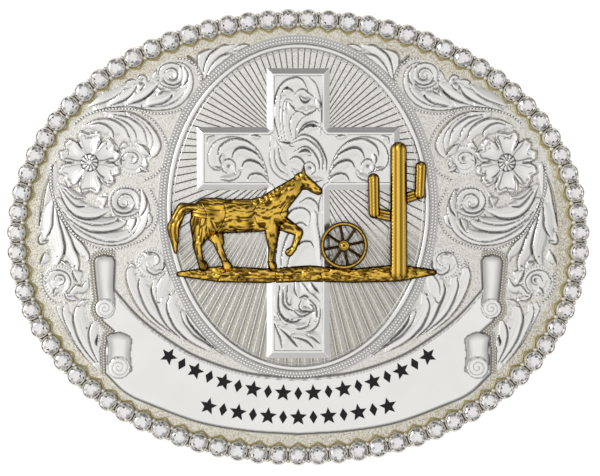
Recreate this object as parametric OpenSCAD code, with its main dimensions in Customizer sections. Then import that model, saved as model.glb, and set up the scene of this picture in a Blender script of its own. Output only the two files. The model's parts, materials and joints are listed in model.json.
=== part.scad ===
// Western trophy buckle: a bent oval plate with a stone border, engraved ground, gilt overlay and
// inlaid banner, with a belt loop and a prong on its back. It lies face up: X runs along the belt,
// Y up the wearer and Z out of the face. The surface that it rests on is z = 0.

/* [Plate] */
// Width over the scalloped edge
buckle_w = 105; // [102:0.5:108]
// Height over the scalloped edge
buckle_h = 82; // [80:0.5:84]
// How full the oval is between its axes, where 1 is a plain ellipse
fullness = 0.97; // [0.96:0.01:1]
// Thickness under the engraved ground
plate_t = 1.8; // [1.6:0.1:2.2]
// Radius of the bend across the width
bend_r = 250; // [230:10:300]
// Height of the back above the surface, at the middle
back_z = 12; // [12:0.5:13]

/* [Stone border] */
// Number of stones
stone_n = 79; // [77:2:79]
// Diameter of a stone at its girdle
stone_d = 2.9; // [2.7:0.1:2.9]
// Diameter of the cup round a stone
cup_d = 3.7; // [3.65:0.05:3.8]
// Height of a cup above the ground
cup_h = 1.1; // [1:0.1:1.3]

/* [Oval frame] */
// Half width of the frame
frame_a = 23.7; // [23:0.1:24]
// Half height of the frame
frame_b = 29.4; // [29:0.1:30]
// Height of its centre above the buckle's
frame_y = 5.4; // [5:0.1:6]
// Width of its rim
frame_w = 1.1; // [0.9:0.1:1.4]

/* [Cross plaque] */
// Length of the upright
plaque_h = 52; // [50:0.5:53]
// Height of the upright's middle above the buckle's
plaque_y = 4.3; // [4:0.1:5]
// Span of the arms
plaque_w = 36.4; // [34:0.2:38]
// Height of the arms' middle above the buckle's
arm_y = 14.1; // [13:0.1:15]
// Width of the upright and of the arms
plaque_bar = 11.3; // [10.5:0.1:12]
// Width of the bevel round it
plaque_bevel = 1; // [0.7:0.1:1.2]

/* [Flowers] */
// Distance of a flower from the middle, to either side
flower_x = 37.5; // [37.2:0.1:37.7]
// Height of a flower above the middle
flower_y = 13.4; // [13.2:0.1:13.8]
// Reach of its petals
flower_r = 5.8; // [5.2:0.1:5.9]
// Number of petals
petal_n = 6; // [5:1:8]

/* [Back] */
// Widest belt that the loop takes
belt_w = 38; // [34:1:38]
// Length of the loop from its hinge pin to its outer bar
loop_l = 26; // [25:0.5:27]
// Slope of the loop from the hinge down to the surface
loop_slope = 14; // [13:0.5:14.5]
// Distance of the hinge pin from the buckle's middle
hinge_x = 17; // [16:0.5:18]
// Diameter of the prong's post
prong_d = 3.8; // [3.4:0.1:4]
// Distance of the prong from the buckle's middle
prong_x = 31; // [28:0.5:33]

/* [Hidden] */

GAP = 0.1;           // clearance between pieces
BIG = 200;           // longer than anything here
BEND_FN = 720;       // fineness of the bend's large cylinders
ROUND_FN = 48;       // fineness of small round parts
RING_STEPS = 720;    // steps in the table of length round the edge
FRAME_STEPS = 80;    // sides of the oval frame
LEAF_STEPS = 5;      // points along each side of a leaf
VOLUTE_STEPS = 10;   // points along each side of a volute
LIMB_STEPS = 6;      // points round each end of a limb
CORNER_STEPS = 5;    // points round a corner of the belt loop

// Heights above the engraved ground
leaf_h = 0.3;
plaque_edge_h = 0.3;
ribbon_h = 0.4;
petal_h = 0.45;
frame_h = 0.55;
plaque_top_h = 0.55;
roll_h = 0.6;
eye_h = 0.65;
overlay_low_h = 0.65;
ground_h = 1.6;
wheel_h = 1.8;
cactus_h = 1.9;
horse_h = 2;
inlay_low_h = ribbon_h + 0.05;
inlay_h = ribbon_h + 0.2;

// Border
cup_r = cup_d / 2;
stone_r = stone_d / 2;
seat_r = stone_r + GAP;
ring_a = buckle_w / 2 - cup_r;
ring_b = buckle_h / 2 - cup_r;
edge_out = 0.9;      // how far the plate's own edge lies outside the ring of stones
band_half = 0.7;     // half width of the band that joins the cups

// Stone: radius as a part of its girdle's and height over its point, from the table down
facet_n = 8;
STONE_RINGS = [
    [0.6, 1.25],
    [1, 0.85],
    [1, 0.72]
];
girdle_z = GAP + (STONE_RINGS[1][1] + STONE_RINGS[2][1]) / 2; // height of its middle above the ground

// How far a leaf's widest part lies towards its tip, where 1 is half way
leaf_swell = 1.5;

// Leaves of the left half: root x, root y, tip x, tip y, bulge, width
LEAVES = [
    [-34.8, 24.0, -30.3, 27.8, -0.5, 1.3],
    [-32.7, 23.8, -27.6, 28.8, -0.6, 1.4],
    [-30.3, 23.6, -25.5, 28.3, -0.9, 1.3],
    [-28.5, 23.4, -22.0, 26.9, -1.0, 1.3],
    [-26.0, 22.9, -19.2, 28.7, -1.6, 1.4],
    [-37.1, 21.3, -33.7, 18.9, 0.9, 1.2],
    [-36.6, 21.7, -30.5, 16.9, 1.6, 1.3],
    [-34.8, 22.4, -28.0, 16.5, 1.9, 1.3],
    [-32.5, 22.9, -25.4, 14.4, 2.1, 1.4],
    [-42.7, 9.2, -38.6, 6.2, -1.1, 1.1],
    [-42.5, 8.3, -34.4, 7.4, -2.7, 1.9],
    [-42.5, 7.2, -33.4, 5.3, -3.1, 1.4],
    [-42.2, 5.8, -31.4, 2.7, -3.0, 1.4],
    [-41.0, 3.4, -28.5, 4.4, -3.7, 1.4],
    [-39.0, 1.1, -26.9, 6.7, -3.9, 1.4],
    [-44.3, 12.1, -46.1, 2.7, 0.5, 1.1],
    [-43.6, 6.4, -46.1, -1.0, -0.5, 1.3],
    [-43.4, 4.2, -46.0, -4.5, -0.8, 1.6],
    [-43.1, 4.0, -43.4, -3.6, 0.2, 1.4],
    [-42.5, 3.7, -40.2, -5.2, 0.8, 1.6],
    [-41.4, 2.9, -37.5, -3.4, 0.7, 1.1],
    [-39.4, -2.6, -40.4, -11.3, 1.6, 1.5],
    [-20.0, -17.6, -30.9, -5.9, 2.0, 1.4],
    [-18.6, -18.4, -28.3, -7.3, 2.2, 1.4],
    [-17.2, -19.2, -25.8, -8.1, 2.3, 1.5],
    [-15.0, -20.2, -22.9, -11.0, 2.2, 1.4],
    [-12.6, -21.2, -20.9, -14.4, 1.6, 1.2],
    [-35.9, -23.0, -42.6, -12.6, 1.0, 1.6],
    [-35.7, -22.6, -38.8, -11.8, 0.9, 1.6],
    [-35.6, -22.0, -36.5, -15.4, 0.5, 1.2]
];

// Volutes of the left half: centre x, centre y, outer radius, start angle, way round (1 or -1)
VOLUTES = [
    [-22.9, 29.2, 2.5, 300, 1],
    [-29.8, 13.9, 2.2, 70, -1],
    [-31.0, 6.2, 2.4, 10, 1],
    [-42.5, -8.1, 2.8, 30, -1],
    [-26.9, -5.2, 2.6, 230, -1]
];
volute_turn = 450;   // degrees from the mouth to the eye
volute_half = 0.17;  // half width of the band at the mouth, as a part of the outer radius
volute_taper = 0.35; // part of that width lost on the way in
volute_sink = 0.62;  // part of the outer radius by which the band winds in

// Half a petal: distance from the flower's centre as a part of its reach, angle from the petal's
// axis as a part of half the angle between two petals
PETAL = [
    [0.2, 0],
    [0.32, 0.6],
    [0.7, 0.9],
    [0.9, 0.82],
    [1, 0.45],
    [0.88, 0]
];
flower_eye_r = 1.5;

// Ribbon, left half: upper edge from its outer end to the middle, then the lower edge back
RIBBON = [
    [-36.2, -12.4],
    [-33.2, -9.4],
    [-28.9, -14.2],
    [-23.6, -18.3],
    [-17.7, -21.7],
    [-9.2, -24.4],
    [0, -25.3],
    [0, -35.2],
    [-9, -34.6],
    [-17.7, -33.1],
    [-26.3, -30],
    [-30.8, -27.9],
    [-34.5, -24.4],
    [-34.2, -18],
    [-32.8, -17],
    [-35.3, -14.6]
];
RIBBON_TAIL = [
    [-36.5, -3.6],
    [-34.8, -3.3],
    [-33.1, -3.7],
    [-33.5, -8],
    [-32.9, -12.2],
    [-35.8, -12.2],
    [-36, -7]
];
RIBBON_FOLD = [[-34.2, -17.9], [-31.5, -17.5], [-30, -18.3], [-30.3, -22.5], [-34, -22.9]];

// Rolled ends of the ribbon: x, y, radius
RIBBON_ROLLS = [
    [-34.3, -12.7, 1.4],
    [-31.8, -23.4, 1.7]
];

// Gilt design, as tapered limbs with round ends: x, y and radius at the start, then at the end
HORSE = [
    [-15.2, 3.7, 3.1, -7.0, 3.9, 3.0],
    [-16.3, 4.1, 3.0, -14.5, 3.9, 3.2],
    [-7.0, 4.1, 3.1, -4.4, 4.6, 2.7],
    [-4.6, 5.6, 2.6, 0.1, 9.7, 1.4],
    [0.5, 10.3, 1.4, 3.6, 8.3, 0.8],
    [0.9, 11.3, 0.5, 1.0, 12.7, 0.15],
    [-4.8, 2.6, 1.6, -4.7, -1.7, 0.8],
    [-4.7, -1.9, 0.7, -5.0, -4.4, 0.55],
    [-5.0, -4.4, 0.6, -4.6, -5.2, 0.85],
    [-3.6, 2.9, 1.6, 0.1, 0.9, 0.85],
    [0.2, 0.7, 0.75, -0.8, -2.0, 0.55],
    [-0.8, -2.0, 0.6, -1.6, -2.7, 0.8],
    [-17.0, 2.6, 2.5, -17.9, -0.9, 1.0],
    [-18.2, -1.3, 0.85, -17.5, -4.3, 0.6],
    [-17.5, -4.3, 0.65, -17.0, -5.2, 0.9],
    [-15.8, 2.4, 2.3, -14.2, -1.0, 0.95],
    [-14.4, -1.3, 0.8, -13.2, -4.3, 0.6],
    [-13.2, -4.3, 0.65, -12.7, -5.2, 0.9],
    [-18.6, 5.4, 0.7, -20.9, 5.2, 1.0],
    [-20.9, 5.2, 1.0, -22.4, 1.8, 1.2],
    [-22.4, 1.8, 1.2, -22.0, -2.6, 0.4]
];
CACTUS = [
    [18.0, -6.0, 1.6, 18.0, 15.6, 1.5],
    [18.0, 3.4, 1.0, 13.6, 4.4, 1.05],
    [13.6, 4.4, 1.05, 13.5, 10.4, 1.1],
    [18.0, 6.6, 1.0, 21.8, 7.8, 1.0],
    [21.8, 7.8, 1.0, 22.0, 12.6, 1.05]
];
GROUND = [
    [-21.4, -6.6, 0.5, -14.0, -6.6, 1.5],
    [-14.0, -6.6, 1.5, -6.0, -6.9, 1.35],
    [-6.0, -6.9, 1.35, 2.0, -6.5, 1.5],
    [2.0, -6.5, 1.5, 10.0, -6.9, 1.3],
    [10.0, -6.9, 1.3, 18.0, -6.4, 1.6],
    [18.0, -6.4, 1.6, 24.4, -6.3, 0.5]
];

// Wagon wheel that stands on the ground strip
wheel_x = 8.2;
wheel_y = -1.5;
wheel_r = 4.3;
wheel_rim = 0.8;
wheel_turn = 11;
hub_r = 1.1;
spoke_n = 8;
spoke_w = 0.55;

// Rows of the banner's inlay, stars and lozenges by turns: number of them, span along the row,
// y at the middle and radius of the row's curve
INLAY_ROWS = [
    [19, 49, -28, 44],
    [13, 32.6, -32.3, 66]
];
star_r = 1.6;
star_in = 0.45;      // inner radius of a star, as a part of its outer
lozenge_r = 1.2;
lozenge_in = 0.6;    // width of a lozenge, as a part of its height

// Belt loop and its hinge tube
loop_bar = 3.2;
loop_t = 2.2;
loop_in = belt_w / 2 + 1.5;
corner_out = 3.4;
corner_in = 1.4;
pin_r = 1.1;
eye_r = 1.6;
tube_bore_r = pin_r + 0.15;
tube_r = 2.1;
tube_l = 30;
web_w = 3;
hinge_z = (loop_l + loop_bar / 2) * sin(loop_slope) + loop_t / 2 * cos(loop_slope);

// Height of the surface that lies h above the ground, at a distance x from the middle
bend_z = back_z + plate_t - bend_r;
function face_z(x, h = 0) = bend_z + sqrt(pow(bend_r + h, 2) - x * x);

// Prong: boss on the plate, shank in the boss, post, elbow and toe, all but the shank of one wire
prong_r = prong_d / 2;
shank_r = 1.4;
boss_r = 3.4;
boss_low = face_z(prong_x, -plate_t) - 1.5;
shank_top = boss_low + 2.2;
elbow_r = 2.6;       // bend radius of the wire's middle
toe_l = 4;
toe_end_r = prong_r + 0.1;
toe_z = toe_end_r;

// Point of an oval of half sizes a and b, at the angle t clockwise from the top
function full(v) = sign(v) * pow(abs(v), fullness);
function oval_pt(a, b, t) = [a * full(sin(t)), b * full(cos(t))];
function ellipse(a, b, n) = [for (i = [0 : n - 1]) [a * sin(i * 360 / n), b * cos(i * 360 / n)]];

// Equal steps round the ring of stones, from a table of the length so far against the angle
function ring_pt(t) = oval_pt(ring_a, ring_b, t);
function ring_step(i) = norm(ring_pt((i + 1) * 360 / RING_STEPS) - ring_pt(i * 360 / RING_STEPS));
ring_table = [for (i = 0, s = 0; i <= RING_STEPS; s = s + ring_step(i), i = i + 1) [s, i * 360 / RING_STEPS]];
pitch = ring_table[RING_STEPS][0] / stone_n;
stone_t = [for (k = [0 : stone_n - 1]) lookup((k + 0.5) * pitch, ring_table)];
valley_t = [for (k = [0 : stone_n - 1]) lookup(k * pitch, ring_table)];
function ring_offset(d) = [for (t = valley_t) oval_pt(ring_a + d, ring_b + d, t)];

// Outline of a leaf: a parabola from root to tip that stands off its chord by bulge, of width w
function leaf_pt(p, q, bulge, w, t, side) =
    let (d = q - p, u = d / norm(d), n = [-u[1], u[0]])
    p + d * t + n * (4 * bulge * t * (1 - t) + side * w / 2 * sin(180 * pow(t, leaf_swell)));
function leaf_outline(p, q, bulge, w) = concat(
    [for (i = [0 : LEAF_STEPS]) leaf_pt(p, q, bulge, w, i / LEAF_STEPS, 1)],
    [for (i = [LEAF_STEPS - 1 : -1 : 1]) leaf_pt(p, q, bulge, w, i / LEAF_STEPS, -1)]);

// Outline of a volute: a band that winds in from its mouth to its eye and narrows on the way
function volute_pt(v, t, side) =
    let (half = volute_half * (1 - volute_taper * t),
        r = v[2] * (1 - volute_half - volute_sink * t - side * half),
        a = v[3] + v[4] * volute_turn * t)
    [v[0] + r * cos(a), v[1] + r * sin(a)];
function volute_outline(v) = concat(
    [for (i = [0 : VOLUTE_STEPS]) volute_pt(v, i / VOLUTE_STEPS, 1)],
    [for (i = [VOLUTE_STEPS : -1 : 0]) volute_pt(v, i / VOLUTE_STEPS, -1)]);

// Outline of a tapered limb: two round ends and the straight sides between them
function limb_arc(c, r, a0, a1) =
    [for (i = [0 : LIMB_STEPS]) let (a = a0 + (a1 - a0) * i / LIMB_STEPS) c + r * [cos(a), sin(a)]];
function limb_outline(m) =
    let (p = [m[0], m[1]], q = [m[3], m[4]], d = q - p)
    let (a = atan2(d[1], d[0]), k = acos((m[2] - m[5]) / norm(d)))
    concat(limb_arc(q, m[5], a - k, a + k), limb_arc(p, m[2], a + k, a - k + 360));

// Three sides of the loop: its hinge side is open and its two outer corners are round
function corner(x, y, r, a) =
    [for (i = [0 : CORNER_STEPS]) let (t = a + 90 * i / CORNER_STEPS) [x + r * cos(t), y + r * sin(t)]];
function loop_outline(l, y, r) =
    concat([[0, -y], [0, y]], corner(r - l, y - r, r, 90), corner(r - l, r - y, r, 180));

// Everything under the bent surface that lies h above the ground
module bent(h) {
    translate([0, 0, bend_z])
        rotate([90, 0, 0])
            cylinder(r = bend_r + h, h = BIG, center = true, $fn = BEND_FN);
}

// Prism over an outline, cut off by the bent surface h above the ground
module raised(h) {
    intersection() {
        linear_extrude(height = 2 * back_z)
            children();
        bent(h);
    }
}

// Sheet over an outline, between the bent surfaces low and high above the ground
module sheet(low, high) {
    difference() {
        raised(high)
            children();
        bent(low);
    }
}

module both_sides() {
    children();
    mirror([1, 0])
        children();
}

module cups_2d() {
    difference() {
        union() {
            for (t = stone_t)
                translate(ring_pt(t))
                    circle(r = cup_r, $fn = ROUND_FN);
            difference() {
                polygon(ring_offset(band_half));
                polygon(ring_offset(-band_half));
            }
        }
        for (t = stone_t)
            translate(ring_pt(t))
                circle(r = seat_r, $fn = ROUND_FN);
    }
}

module frame_2d() {
    translate([0, frame_y])
        difference() {
            polygon(ellipse(frame_a, frame_b, FRAME_STEPS));
            polygon(ellipse(frame_a - frame_w, frame_b - frame_w, FRAME_STEPS));
        }
}

// Latin cross, drawn in by a margin all round
module plaque_2d(margin) {
    translate([0, plaque_y])
        square([plaque_bar - 2 * margin, plaque_h - 2 * margin], center = true);
    translate([0, arm_y])
        square([plaque_w - 2 * margin, plaque_bar - 2 * margin], center = true);
}

module ribbon_ends_2d() {
    both_sides() {
        polygon(RIBBON_TAIL);
        polygon(RIBBON_FOLD);
        for (roll = RIBBON_ROLLS)
            translate([roll[0], roll[1]])
                circle(r = roll[2], $fn = ROUND_FN);
    }
}

module flower_2d() {
    turn = 180 / petal_n;
    half = [for (p = PETAL) p[0] * flower_r * [cos(p[1] * turn), sin(p[1] * turn)]];
    other = [for (i = [len(half) - 2 : -1 : 1]) [half[i][0], -half[i][1]]];
    for (k = [0 : petal_n - 1])
        rotate((2 * k + 1) * turn)
            polygon(concat(half, other));
}

module leaves_2d() {
    both_sides() {
        for (v = LEAVES)
            polygon(leaf_outline([v[0], v[1]], [v[2], v[3]], v[4], v[5]));
        for (v = VOLUTES)
            polygon(volute_outline(v));
    }
}

// Face of the plate: the ground and everything cast on it
module face() {
    raised(0)
        polygon(ring_offset(edge_out));
    raised(cup_h)
        cups_2d();
    raised(frame_h)
        frame_2d();
    raised(plaque_edge_h)
        plaque_2d(0);
    raised(plaque_top_h)
        plaque_2d(plaque_bevel);
    raised(ribbon_h)
        both_sides()
            polygon(RIBBON);
    raised(roll_h)
        ribbon_ends_2d();
    raised(leaf_h)
        leaves_2d();
    raised(petal_h)
        both_sides()
            translate([flower_x, flower_y])
                flower_2d();
    raised(eye_h)
        both_sides()
            translate([flower_x, flower_y])
                circle(r = flower_eye_r, $fn = ROUND_FN);
}

// Tube for the hinge pin and boss for the prong, soldered to the back
module back_fittings() {
    translate([-hinge_x, 0, hinge_z])
        rotate([90, 0, 0])
            cylinder(r = tube_r, h = tube_l, center = true, $fn = ROUND_FN);
    intersection() {
        union() {
            translate([-hinge_x - web_w / 2, -tube_l / 2, hinge_z])
                cube([web_w, tube_l, back_z]);
            translate([prong_x, 0, boss_low])
                cylinder(r = boss_r, h = back_z, $fn = ROUND_FN);
        }
        bent(-plate_t / 2);
    }
}

module back_bores() {
    translate([-hinge_x, 0, hinge_z])
        rotate([90, 0, 0])
            cylinder(r = tube_bore_r, h = tube_l + 2, center = true, $fn = ROUND_FN);
    translate([prong_x, 0, boss_low - 1])
        cylinder(r = shank_r + GAP, h = shank_top + GAP - boss_low + 1, $fn = ROUND_FN);
}

module buckle_plate() {
    color("silver")
        difference() {
            union() {
                difference() {
                    face();
                    bent(-plate_t);
                }
                back_fittings();
            }
            back_bores();
        }
}

// A stone on its point: a table, a crown, a girdle and a pavilion
module stone() {
    ring_n = len(STONE_RINGS);
    tip = ring_n * facet_n;
    points = concat(
        [for (ring = STONE_RINGS, k = [0 : facet_n - 1])
            let (r = ring[0] * stone_r, a = k * 360 / facet_n) [r * cos(a), r * sin(a), ring[1]]],
        [[0, 0, 0]]);
    faces = concat(
        [[for (k = [facet_n - 1 : -1 : 0]) k]],
        [for (j = [0 : ring_n - 2], k = [0 : facet_n - 1])
            let (m = (k + 1) % facet_n, top = j * facet_n, low = top + facet_n)
            [top + k, top + m, low + m, low + k]],
        [for (k = [0 : facet_n - 1]) [tip - facet_n + k, tip - facet_n + (k + 1) % facet_n, tip]]);
    polyhedron(points = points, faces = faces);
}

// The stones lean with the bent ground, each with the middle of its girdle on its upright seat's axis
module border_stones() {
    color("white")
        for (t = stone_t) {
            p = ring_pt(t);
            x = p[0] * (1 - girdle_z / bend_r);
            translate([x, p[1], face_z(x)])
                rotate([0, asin(x / bend_r), 0])
                    translate([0, 0, GAP])
                        rotate(-t)
                            stone();
        }
}

module limbs_2d(table) {
    for (m = table)
        polygon(limb_outline(m));
}

module wheel_2d() {
    translate([wheel_x, wheel_y]) {
        difference() {
            circle(r = wheel_r, $fn = ROUND_FN);
            circle(r = wheel_r - wheel_rim, $fn = ROUND_FN);
        }
        circle(r = hub_r, $fn = ROUND_FN);
        for (k = [0 : spoke_n - 1])
            rotate(k * 360 / spoke_n + wheel_turn)
                translate([0, -spoke_w / 2])
                    square([wheel_r - wheel_rim / 2, spoke_w]);
    }
}

module gilt_overlay() {
    color("goldenrod") {
        sheet(overlay_low_h, ground_h)
            limbs_2d(GROUND);
        sheet(overlay_low_h, horse_h)
            limbs_2d(HORSE);
        sheet(overlay_low_h, cactus_h)
            limbs_2d(CACTUS);
        sheet(overlay_low_h, wheel_h)
            wheel_2d();
    }
}

module star_2d() {
    polygon([for (k = [0 : 9])
        let (r = k % 2 == 0 ? star_r : star_r * star_in, a = k * 36) [r * sin(a), r * cos(a)]]);
}

module lozenge_2d() {
    half_w = lozenge_r * lozenge_in;
    polygon([[0, lozenge_r], [half_w, 0], [0, -lozenge_r], [-half_w, 0]]);
}

module inlay_row_2d(items, span, y, r) {
    for (k = [0 : items - 1])
        translate([0, y + r])
            rotate((k / (items - 1) - 0.5) * span / r * 180 / PI)
                translate([0, -r])
                    if (k % 2 == 0) star_2d();
                    else lozenge_2d();
}

module banner_inlay() {
    color("black")
        sheet(inlay_low_h, inlay_h)
            for (row = INLAY_ROWS)
                inlay_row_2d(row[0], row[1], row[2], row[3]);
}

// Bail of flat bar for the belt's end, closed by its hinge pin
module belt_loop() {
    outer = loop_l + loop_bar / 2;
    inner = loop_l - loop_bar / 2;
    side_y = loop_in + loop_bar / 2;
    color("lightgray")
        translate([-hinge_x, 0, hinge_z])
            rotate([0, -loop_slope, 0]) {
                difference() {
                    linear_extrude(height = loop_t, center = true)
                        polygon(loop_outline(outer, loop_in + loop_bar, corner_out));
                    translate([1, 0, 0])
                        linear_extrude(height = 2 * loop_t, center = true)
                            polygon(loop_outline(inner + 1, loop_in, corner_in));
                }
                rotate([90, 0, 0])
                    cylinder(r = pin_r, h = 2 * side_y, center = true, $fn = ROUND_FN);
                for (side = [-1, 1])
                    translate([0, side * side_y, 0])
                        rotate([90, 0, 0])
                            cylinder(r = eye_r, h = loop_bar, center = true, $fn = ROUND_FN);
            }
}

// Hooked post that goes through a hole in the belt, with its toe turned outwards
module prong() {
    color("lightgray")
        translate([prong_x, 0, toe_z + elbow_r]) {
            cylinder(r = prong_r, h = boss_low - GAP - toe_z - elbow_r, $fn = ROUND_FN);
            cylinder(r = shank_r, h = shank_top - toe_z - elbow_r, $fn = ROUND_FN);
            translate([elbow_r, 0, 0]) {
                rotate([90, 0, 0])
                    rotate([0, 0, 180])
                        rotate_extrude(angle = 90, $fn = ROUND_FN)
                            translate([elbow_r, 0])
                                circle(r = prong_r, $fn = ROUND_FN);
                translate([0, 0, -elbow_r])
                    rotate([0, 90, 0]) {
                        cylinder(r = prong_r, h = toe_l, $fn = ROUND_FN);
                        translate([0, 0, toe_l])
                            sphere(r = toe_end_r, $fn = ROUND_FN);
                    }
            }
        }
}

buckle_plate();
border_stones();
gilt_overlay();
banner_inlay();
belt_loop();
prong();
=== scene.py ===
"""Dresses the western trophy buckle: engraved silver, stone border, gilt overlay and banner."""

import json
import logging
import math
from collections.abc import Callable, Sequence
from dataclasses import dataclass, field, replace
from enum import Enum
from functools import cache
from itertools import product
from typing import Protocol

import bpy
import numpy as np
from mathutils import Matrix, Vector
from mathutils.geometry import tessellate_polygon

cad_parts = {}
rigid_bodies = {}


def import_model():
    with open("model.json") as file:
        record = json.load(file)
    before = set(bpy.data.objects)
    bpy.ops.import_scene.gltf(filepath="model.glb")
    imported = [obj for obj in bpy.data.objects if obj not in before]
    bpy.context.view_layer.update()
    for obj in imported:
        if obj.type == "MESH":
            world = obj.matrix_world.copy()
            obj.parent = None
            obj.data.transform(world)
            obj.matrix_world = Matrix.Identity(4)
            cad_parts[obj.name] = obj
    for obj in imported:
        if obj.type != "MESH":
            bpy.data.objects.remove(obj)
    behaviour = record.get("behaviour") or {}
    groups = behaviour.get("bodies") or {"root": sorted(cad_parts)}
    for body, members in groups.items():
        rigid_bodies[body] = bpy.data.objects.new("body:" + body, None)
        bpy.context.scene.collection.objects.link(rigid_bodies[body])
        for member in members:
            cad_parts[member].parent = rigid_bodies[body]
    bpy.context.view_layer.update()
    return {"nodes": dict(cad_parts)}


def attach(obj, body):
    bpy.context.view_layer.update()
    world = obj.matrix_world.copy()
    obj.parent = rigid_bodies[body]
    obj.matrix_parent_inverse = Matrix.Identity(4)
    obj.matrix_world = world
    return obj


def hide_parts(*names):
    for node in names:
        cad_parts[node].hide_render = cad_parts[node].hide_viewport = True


log = logging.getLogger("buckle")

MM = 0.001
Array = np.ndarray
Point = tuple[float, float]
Colour = tuple[float, float, float]
Section = Sequence[tuple[float, float, float]]


class Slot(Enum):
    """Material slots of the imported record."""

    SILVER = "silver_plate"
    CRYSTAL = "crystal"
    GILT = "gilt"
    ENAMEL = "black_enamel"
    NICKEL = "nickel_wire"


class Finish(Protocol):
    """Anything that can make its material."""

    def build(self) -> bpy.types.Material:
        """Makes the material."""


@dataclass(frozen=True)
class Bend:
    """The large cylinder along Y that the whole buckle is bent round, in mm."""

    radius: float = 250.0
    ground: float = 13.8

    def z(self, x: Array, h: Array | float) -> Array:
        """Height above the floor of the surface h above the engraved ground."""
        return self.ground - self.radius + np.sqrt((self.radius + h) ** 2 - x * x)

    def lift(self, places: Array, h: Array | float) -> Array:
        """Flat places lifted to the surface h above the ground."""
        return np.column_stack([places, self.z(places[:, 0], h)])

    def up(self, x: Array) -> Array:
        """Unit normals of the surface at x."""
        lean = x / self.radius
        return np.column_stack([lean, np.zeros_like(lean), np.sqrt(1 - lean * lean)])


BEND = Bend()


@dataclass
class Solid:
    """A closed triangle mesh in mm, with a value of each tone at every point."""

    points: Array
    tris: Array
    tones: dict[str, Array] = field(default_factory=dict)

    def joined(self, *others: "Solid") -> "Solid":
        """This solid and the others as one mesh."""
        parts = [self, *others]
        starts = np.cumsum([0] + [len(p.points) for p in parts[:-1]])
        names = sorted({name for p in parts for name in p.tones})
        return Solid(
            np.concatenate([p.points for p in parts]),
            np.concatenate([p.tris + s for p, s in zip(parts, starts)]),
            {n: np.concatenate([p.tones.get(n, np.zeros(len(p.points))) for p in parts]) for n in names},
        )

    def mirrored(self) -> "Solid":
        """The same solid on the other side of x = 0, with its faces still pointing outwards."""
        return Solid(self.points * [-1, 1, 1], self.tris[:, ::-1].copy(), dict(self.tones))


@cache
def material(finish: Finish) -> bpy.types.Material:
    """The material of a finish, made once."""
    return finish.build()


def linked(name: str, data: bpy.types.ID) -> bpy.types.Object:
    """A new object of the scene with the given data."""
    obj = bpy.data.objects.new(name, data)
    bpy.context.scene.collection.objects.link(obj)
    return obj


def coat(data: bpy.types.Mesh, finish: Finish) -> None:
    """Makes a finish the only material of a mesh."""
    data.materials.clear()
    data.materials.append(material(finish))


def carry(data: bpy.types.Mesh, name: str, values: Array, domain: str = "POINT") -> None:
    """Gives a mesh an attribute of numbers or of vectors."""
    kind, key = ("FLOAT_VECTOR", "vector") if values.ndim == 2 else ("FLOAT", "value")
    data.attributes.new(name, kind, domain).data.foreach_set(key, values.astype(np.float32).ravel())


def make_object(name: str, solid: Solid, finish: Finish, sharp: float = 40.0) -> bpy.types.Object:
    """Makes a linked object of a solid.

    Args:
        name: plain name of the piece.
        solid: its mesh in mm.
        finish: the finish of all its faces.
        sharp: edges steeper than this, in degrees, stay sharp.

    Returns:
        The object, at the origin, in metres.
    """
    mesh = bpy.data.meshes.new(name)
    count = len(solid.tris)
    mesh.vertices.add(len(solid.points))
    mesh.vertices.foreach_set("co", (solid.points * MM).astype(np.float32).ravel())
    mesh.loops.add(3 * count)
    mesh.loops.foreach_set("vertex_index", solid.tris.astype(np.int32).ravel())
    mesh.polygons.add(count)
    mesh.polygons.foreach_set("loop_start", np.arange(0, 3 * count, 3, dtype=np.int32))
    mesh.update(calc_edges=True)
    mesh.polygons.foreach_set("use_smooth", np.ones(count, bool))
    mesh.set_sharp_from_angle(angle=math.radians(sharp))
    for tone, values in solid.tones.items():
        carry(mesh, tone, values)
    coat(mesh, finish)
    return linked(name, mesh)


def settle(obj: bpy.types.Object, node: str = "buckle_plate") -> None:
    """Puts a finished piece on the body, hides the node it stands for and logs its triangles."""
    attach(obj, "root")
    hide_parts(node)
    log.info("%s: %d triangles", obj.name, sum(len(p.vertices) - 2 for p in obj.data.polygons))


def ramp(value: Array, low: float, high: float) -> Array:
    """Smooth step from 0 at low to 1 at high."""
    t = np.clip((value - low) / (high - low), 0, 1)
    return t * t * (3 - 2 * t)


def ridge(value: Array, half: float) -> Array:
    """1 where value is 0, falling smoothly to 0 at half to either side."""
    return 1 - ramp(np.abs(value), 0, half)


def dome(value: Array) -> Array:
    """Height of a half circle over a value from -1 to 1."""
    return np.sqrt(np.clip(1 - value**2, 0, 1))


def smooth_path(points: Sequence[Point] | Sequence[float], per: int = 8) -> Array:
    """An open curve through points, in pairs or as one list, with so many steps from each to the next."""
    p = np.reshape(points, (-1, 2)).astype(float)
    p = np.vstack([2 * p[0] - p[1], p, 2 * p[-1] - p[-2]])
    t = (np.arange(per) / per)[:, None]
    out = []
    for a, b, c, d in zip(p[:-3], p[1:-2], p[2:-1], p[3:]):
        square, cube = 2 * a - 5 * b + 4 * c - d, 3 * b - a - 3 * c + d
        out.append(0.5 * (2 * b + (c - a) * t + square * t**2 + cube * t**3))
    return np.vstack([*out, p[-2:-1]])


def lengths(vectors: Array) -> Array:
    """Length of each of a row of vectors."""
    return np.linalg.norm(vectors, axis=1)


def running(path: Array) -> Array:
    """How far each point of a path lies along it."""
    return np.concatenate([[0], np.cumsum(lengths(np.diff(path, axis=0)))])


def spaced(path: Array, pitch: float) -> Array:
    """Points at an even pitch along a path."""
    run = running(path)
    at = np.linspace(0, run[-1], max(2, int(round(run[-1] / pitch)) + 1))
    return np.column_stack([np.interp(at, run, path[:, 0]), np.interp(at, run, path[:, 1])])


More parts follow.
